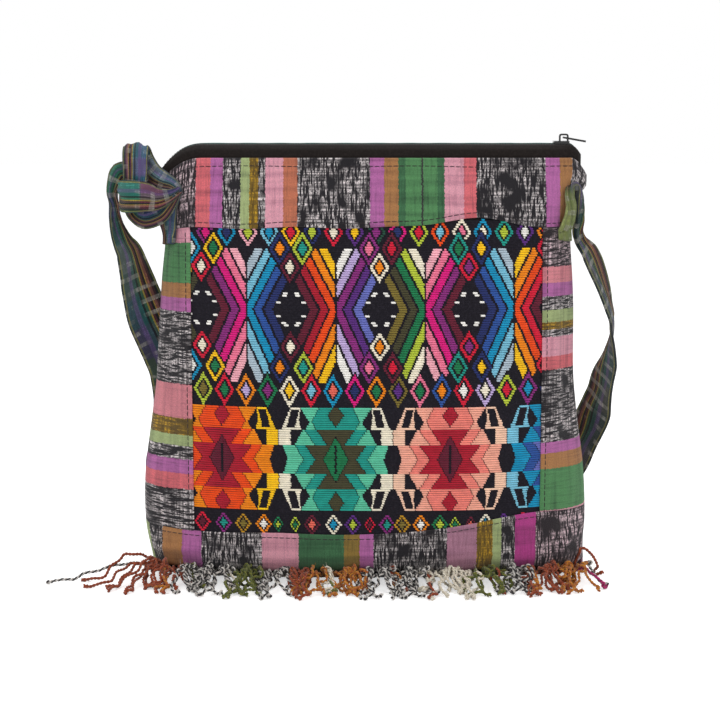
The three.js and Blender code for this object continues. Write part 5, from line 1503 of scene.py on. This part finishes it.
        everything = np.concatenate([points.reshape(-1, 3), ends])
        everything[:, 2] = np.maximum(everything[:, 2], 0.05)
        i = np.arange(self.section)
        after = (i + 1) % self.section
        last = (rows - 1) * self.section
        total = rows * self.section
        caps = np.concatenate([
            np.stack([np.full(self.section, total), after, i], -1),
            np.stack([np.full(self.section, total + 1), last + i, last + after], -1),
        ])
        u = np.broadcast_to(side * self.width / 2, (rows, self.section)).ravel()
        v = np.broadcast_to(s[:, None], (rows, self.section)).ravel()
        uv = np.concatenate([np.stack([u, v], -1), [[0, 0], [0, s[-1]]]]) * MM
        tint = np.repeat(self.dyed(s, s[-1]), self.section, axis=0)
        tint = np.concatenate([tint, tint[:1], tint[-1:]])
        faces = [grid_faces(rows, self.section, ring=True), caps]
        material = StrapFinish("Ikat of the strap", self.width / 2).material()
        piece = make_piece("strap_cloth", everything, faces, material, uv=uv, tint=tint)
        fit(piece, "strap", "strap")


class YarnDye(Enum):
    """Dyes of the fringe: the main colour, and the colour of the second ply."""

    RUST = (0x8A3A1E, 0x9C4826)
    SALT = (0xC9C4BE, 0x2E2B2C)
    OLIVE = (0x6E7028, 0x515A20)
    MUSTARD = (0xC07C24, 0xA85A1C)
    CREAM = (0xE6DECE, 0xD8CFBC)
    MAGENTA = (0xB8206C, 0x8E1A54)


@dataclass
class Fringe:
    """Tufts of two-ply twisted yarn that come out of the lower front seam, kink and curl,
    and lie on the floor."""

    form: BagForm
    tufts: int = 16
    margin: float = 9
    reach: float = 44
    crown: float = 9.5
    cords: int = 11
    cord_radius: float = 0.95
    twist: float = 4.2
    stations: int = 60
    hairs: int = 90

    def dyes(self) -> list[YarnDye]:
        """The main dye of each tuft, from the left."""
        d = YarnDye
        return [
            d.RUST, d.SALT, d.SALT, d.OLIVE, d.SALT, d.RUST, d.MUSTARD, d.MUSTARD,
            d.SALT, d.SALT, d.CREAM, d.CREAM, d.OLIVE, d.SALT, d.RUST, d.MUSTARD,
        ]

    def paths(self, tuft: int) -> tuple[np.ndarray, list[YarnDye]]:
        """Centre lines of a tuft's cords: out of the seam, over a low crown and down to the
        floor, with kinks that grow towards the free end.

        Args:
            tuft: number of the tuft from the left.

        Returns:
            Places of shape (cords, stations, 3), and the dye of each cord.
        """
        dyes = self.dyes()
        pitch = 2 * (self.form.half_width - self.margin) / (self.tufts - 1)
        middle = -self.form.half_width + self.margin + tuft * pitch
        root, _ = self.form.back_surface()(np.array([middle]), np.array([-1.0]))
        depth = root[0][1] - 0.6
        t = np.linspace(0, 1, self.stations)
        wants = []
        for cord in range(self.cords):
            seed = 31 * tuft + 7 * cord
            share = 0.5 + 0.5 * wander(seed + 1)
            reach = self.reach * (0.55 + 0.5 * share)
            sideways = 11 * wander(seed + 2)
            start = (cord - (self.cords - 1) / 2) * pitch / self.cords
            crown = self.crown * (0.55 + 0.5 * np.abs(wander(seed + 3)))
            dye = dyes[tuft] if wander(seed + 5) < 0.55 else dyes[(tuft + cord) % self.tufts]
            wants.append((start, reach, sideways, crown, seed, dye, 1.0))
        if tuft == 0:
            wants += [
                (-2, 24, -67, 7, 3, YarnDye.SALT, 0.5), (-3, 34, -43, 8, 5, YarnDye.RUST, 0.7),
                (-1, 40, -29, 12, 8, YarnDye.RUST, 0.7), (-4, 44, -17, 9, 11, YarnDye.RUST, 0.8),
                (-5, 20, -44, 13, 14, YarnDye.RUST, 0.6), (0, 43, -5, 12, 17, YarnDye.RUST, 0.8),
                (2, 36, -36, 10, 23, YarnDye.RUST, 0.7), (1, 44, -23, 8, 29, YarnDye.RUST, 0.7),
            ]
        if tuft == self.tufts - 1:
            wants += [(3, 8, 17, 14, 21, YarnDye.RUST, 0.8), (4, 36, 14, 6, 24, YarnDye.MAGENTA, 0.8)]
        lines = []
        for start, reach, sideways, crown, seed, _, curl in wants:
            kink = curl * smoothstep(0.15, 0.6, t) * 2.6
            phase = 6 * wander(seed + 9)
            x = middle + start + sideways * t**1.3 + kink * np.sin(11 * t * (1 + 0.3 * wander(seed)) + phase)
            x = x + 0.9 * kink * np.sin(27 * t + 2 * phase) * 0.5
            y = depth - reach * t ** (1 - 0.2 * wander(seed + 4)) + kink * np.cos(13 * t + phase) - kink * np.cos(phase)
            z = self.cord_radius + crown * np.sin(math.pi * np.clip(t * 1.15, 0, 1)) ** 1.2 + 0.25
            z = z + 1.2 * np.abs(kink) * np.sin(17 * t + phase) ** 2 * 0.6
            lines.append(np.stack([x, np.minimum(y, depth), np.maximum(z, self.cord_radius + 0.1)], -1))
        return np.stack(lines), [want[5] for want in wants]

    def plies(self, paths: np.ndarray, dyes: list[YarnDye]) -> tuple[Mesh, np.ndarray]:
        """Two plies wound round each centre line, half a turn apart.

        Args:
            paths: centre lines.
            dyes: dye of each cord.

        Returns:
            The surface and the tint of each point.
        """
        dense = np.linspace(0, 1, 2 * self.stations)
        own = np.linspace(0, 1, self.stations)
        fine = np.stack([[np.interp(dense, own, line[:, k]) for k in range(3)] for line in paths])
        fine = np.moveaxis(fine, 1, -1)
        length = np.concatenate(
            [np.zeros((len(fine), 1)), np.cumsum(np.linalg.norm(np.diff(fine, axis=1), axis=2), axis=1)], 1
        )
        along = unit(np.gradient(fine, axis=1))
        side = unit(np.cross(along, np.array([0.0, 0.0, 1.0])))
        up = np.cross(side, along)
        swell = 1 + 0.5 * np.exp(-(((length[:, -1:] - length) / 2.2) ** 2))
        ply_radius = 0.56 * self.cord_radius * swell
        strands, tints = [], []
        for ply in (0, 1):
            turn = (2 * math.pi * length / self.twist + math.pi * ply)[..., None]
            offset = (side * np.cos(turn) + up * np.sin(turn)) * (0.5 * self.cord_radius * swell)[..., None]
            strands.append(tubes(fine + offset, ply_radius, 4, np.array([0.0, 0.0, 1.0])))
            color = np.array([rgb(dye.value[ply]) for dye in dyes])
            tints.append(np.repeat(color, len(strands[-1][0]) // len(dyes), axis=0))
        return joined(*strands), np.concatenate(tints)

    def fuzz(self, paths: np.ndarray, dyes: list[YarnDye], seed: int) -> tuple[Mesh, np.ndarray]:
        """Fine loose fibres: short bent hairs that stand off the cords, thicker at the tips."""
        chance = np.random.default_rng(seed)
        count = self.hairs
        which = chance.integers(0, len(dyes), count)
        spot = (self.stations - 1 - (chance.random(count) ** 1.8 * 0.85 * self.stations)).astype(int)
        start = paths[which, spot]
        way = unit(chance.normal(size=(count, 3)) + np.array([0, -0.3, 0.2]))
        bend = unit(chance.normal(size=(count, 3)))
        t = np.linspace(0, 1, 4)[None, :, None]
        length = chance.uniform(1.5, 4.5, count)[:, None, None]
        lines = start[:, None] + way[:, None] * t * length + bend[:, None] * t * t * length * 0.5
        lines[..., 2] = np.maximum(lines[..., 2], 0.15)
        hairs = tubes(lines, np.array([0.12, 0.1, 0.08, 0.04]), 3, np.array([0.31, 0.52, 0.79]))
        color = np.array([rgb(dye.value[0]) for dye in dyes])[which]
        return hairs, np.repeat(color, len(hairs[0]) // count, axis=0)

    def build(self) -> None:
        """Makes every tuft as a piece of its own."""
        material = YarnFinish("Fringe yarn", 0.15, 0.3).material()
        for tuft in range(self.tufts):
            paths, dyes = self.paths(tuft)
            cords, cord_tint = self.plies(paths, dyes)
            hairs, hair_tint = self.fuzz(paths, dyes, tuft)
            tint = np.concatenate([cord_tint, hair_tint])
            node = f"fringe_tuft_{tuft + 1:02d}"
            fit(make_piece(f"{node}_yarn", *joined(cords, hairs), material, tint=tint), "yarn", node)


@dataclass(frozen=True)
class Studio:
    """A white floor and surround, soft lamps and the camera of the photograph."""

    lens: float = 81
    camera_at: tuple[float, float, float] = (-0.0054, -0.95, 0.29)
    pitch: float = 9.65

    def floor(self) -> None:
        """A wide white floor that keeps the shadow and shows white to the camera."""
        mesh = bpy.data.meshes.new("floor")
        mesh.from_pydata([(-4, -3, 0), (4, -3, 0), (4, 5, 0), (-4, 5, 0)], [], [(0, 1, 2, 3)])
        material, s, shader = new_material("White floor", 1.0, 0.0)
        shader.inputs["Base Color"].default_value = (0.9, 0.9, 0.9, 1)
        glow = s.node("Emission", {"Color": (1, 1, 1, 1)})
        seen = s.node("LightPath").outputs["Is Camera Ray"]
        s.feed(glow.inputs["Strength"], s.times(seen, 0.55))
        both = s.node("AddShader", {0: shader.outputs[0], 1: glow.outputs[0]})
        s.feed(material.node_tree.nodes["Material Output"].inputs["Surface"], both.outputs[0])
        mesh.materials.append(material)
        floor = bpy.data.objects.new("floor", mesh)
        bpy.context.scene.collection.objects.link(floor)

    def world(self) -> None:
        """Even white light all round, seen as white by the camera."""
        world = bpy.data.worlds.new("Studio")
        bpy.context.scene.world = world
        world.use_nodes = True
        s = Sketch(world.node_tree)
        background = world.node_tree.nodes["Background"]
        background.inputs["Color"].default_value = (1, 1, 1, 1)
        path = s.node("LightPath")
        seen = s.math("MAXIMUM", path.outputs["Is Camera Ray"], path.outputs["Is Glossy Ray"])
        s.feed(background.inputs["Strength"], s.window(seen, 0, 1, 0.55, 1.0))

    def lamp(self, name: str, at: tuple[float, float, float], size: float, power: float) -> None:
        """A square soft lamp that points at the middle of the bag."""
        light = bpy.data.lights.new(name, "AREA")
        light.size, light.energy = size, power
        lamp = bpy.data.objects.new(name, light)
        bpy.context.scene.collection.objects.link(lamp)
        x, y, z = at
        down = math.atan2(math.hypot(x, y), z - 0.12)
        lamp.location = at
        lamp.rotation_euler = (down, 0, math.atan2(x, -y) if (x or y) else 0)

    def camera(self) -> None:
        """The camera, level across and tipped down a little."""
        data = bpy.data.cameras.new("camera")
        data.lens, data.sensor_width = self.lens, 36
        camera = bpy.data.objects.new("camera", data)
        bpy.context.scene.collection.objects.link(camera)
        camera.location = self.camera_at
        camera.rotation_euler = (math.radians(90 - self.pitch), 0, 0)
        bpy.context.scene.camera = camera

    def build(self) -> None:
        """Sets the whole studio up."""
        bpy.context.scene.view_settings.view_transform = "Standard"
        self.floor()
        self.world()
        self.lamp("front left lamp", (-0.9, -1.3, 1.1), 0.9, 9)
        self.lamp("front right lamp", (1.0, -1.1, 0.9), 0.9, 6)
        self.lamp("top lamp", (0.0, 0.3, 1.6), 1.2, 8)
        self.camera()


def main() -> None:
    """Builds and dresses every piece in order."""
    logging.basicConfig(level=logging.INFO, format="%(message)s")
    form = BagForm()
    BrocadePanel(form).build()
    FrontBands(form).build()
    BackPanel(form).build()
    Zipper(form).build()
    Strap(form).build()
    Fringe(form).build()
    Studio().build()


if __name__ == "__main__":
    main()
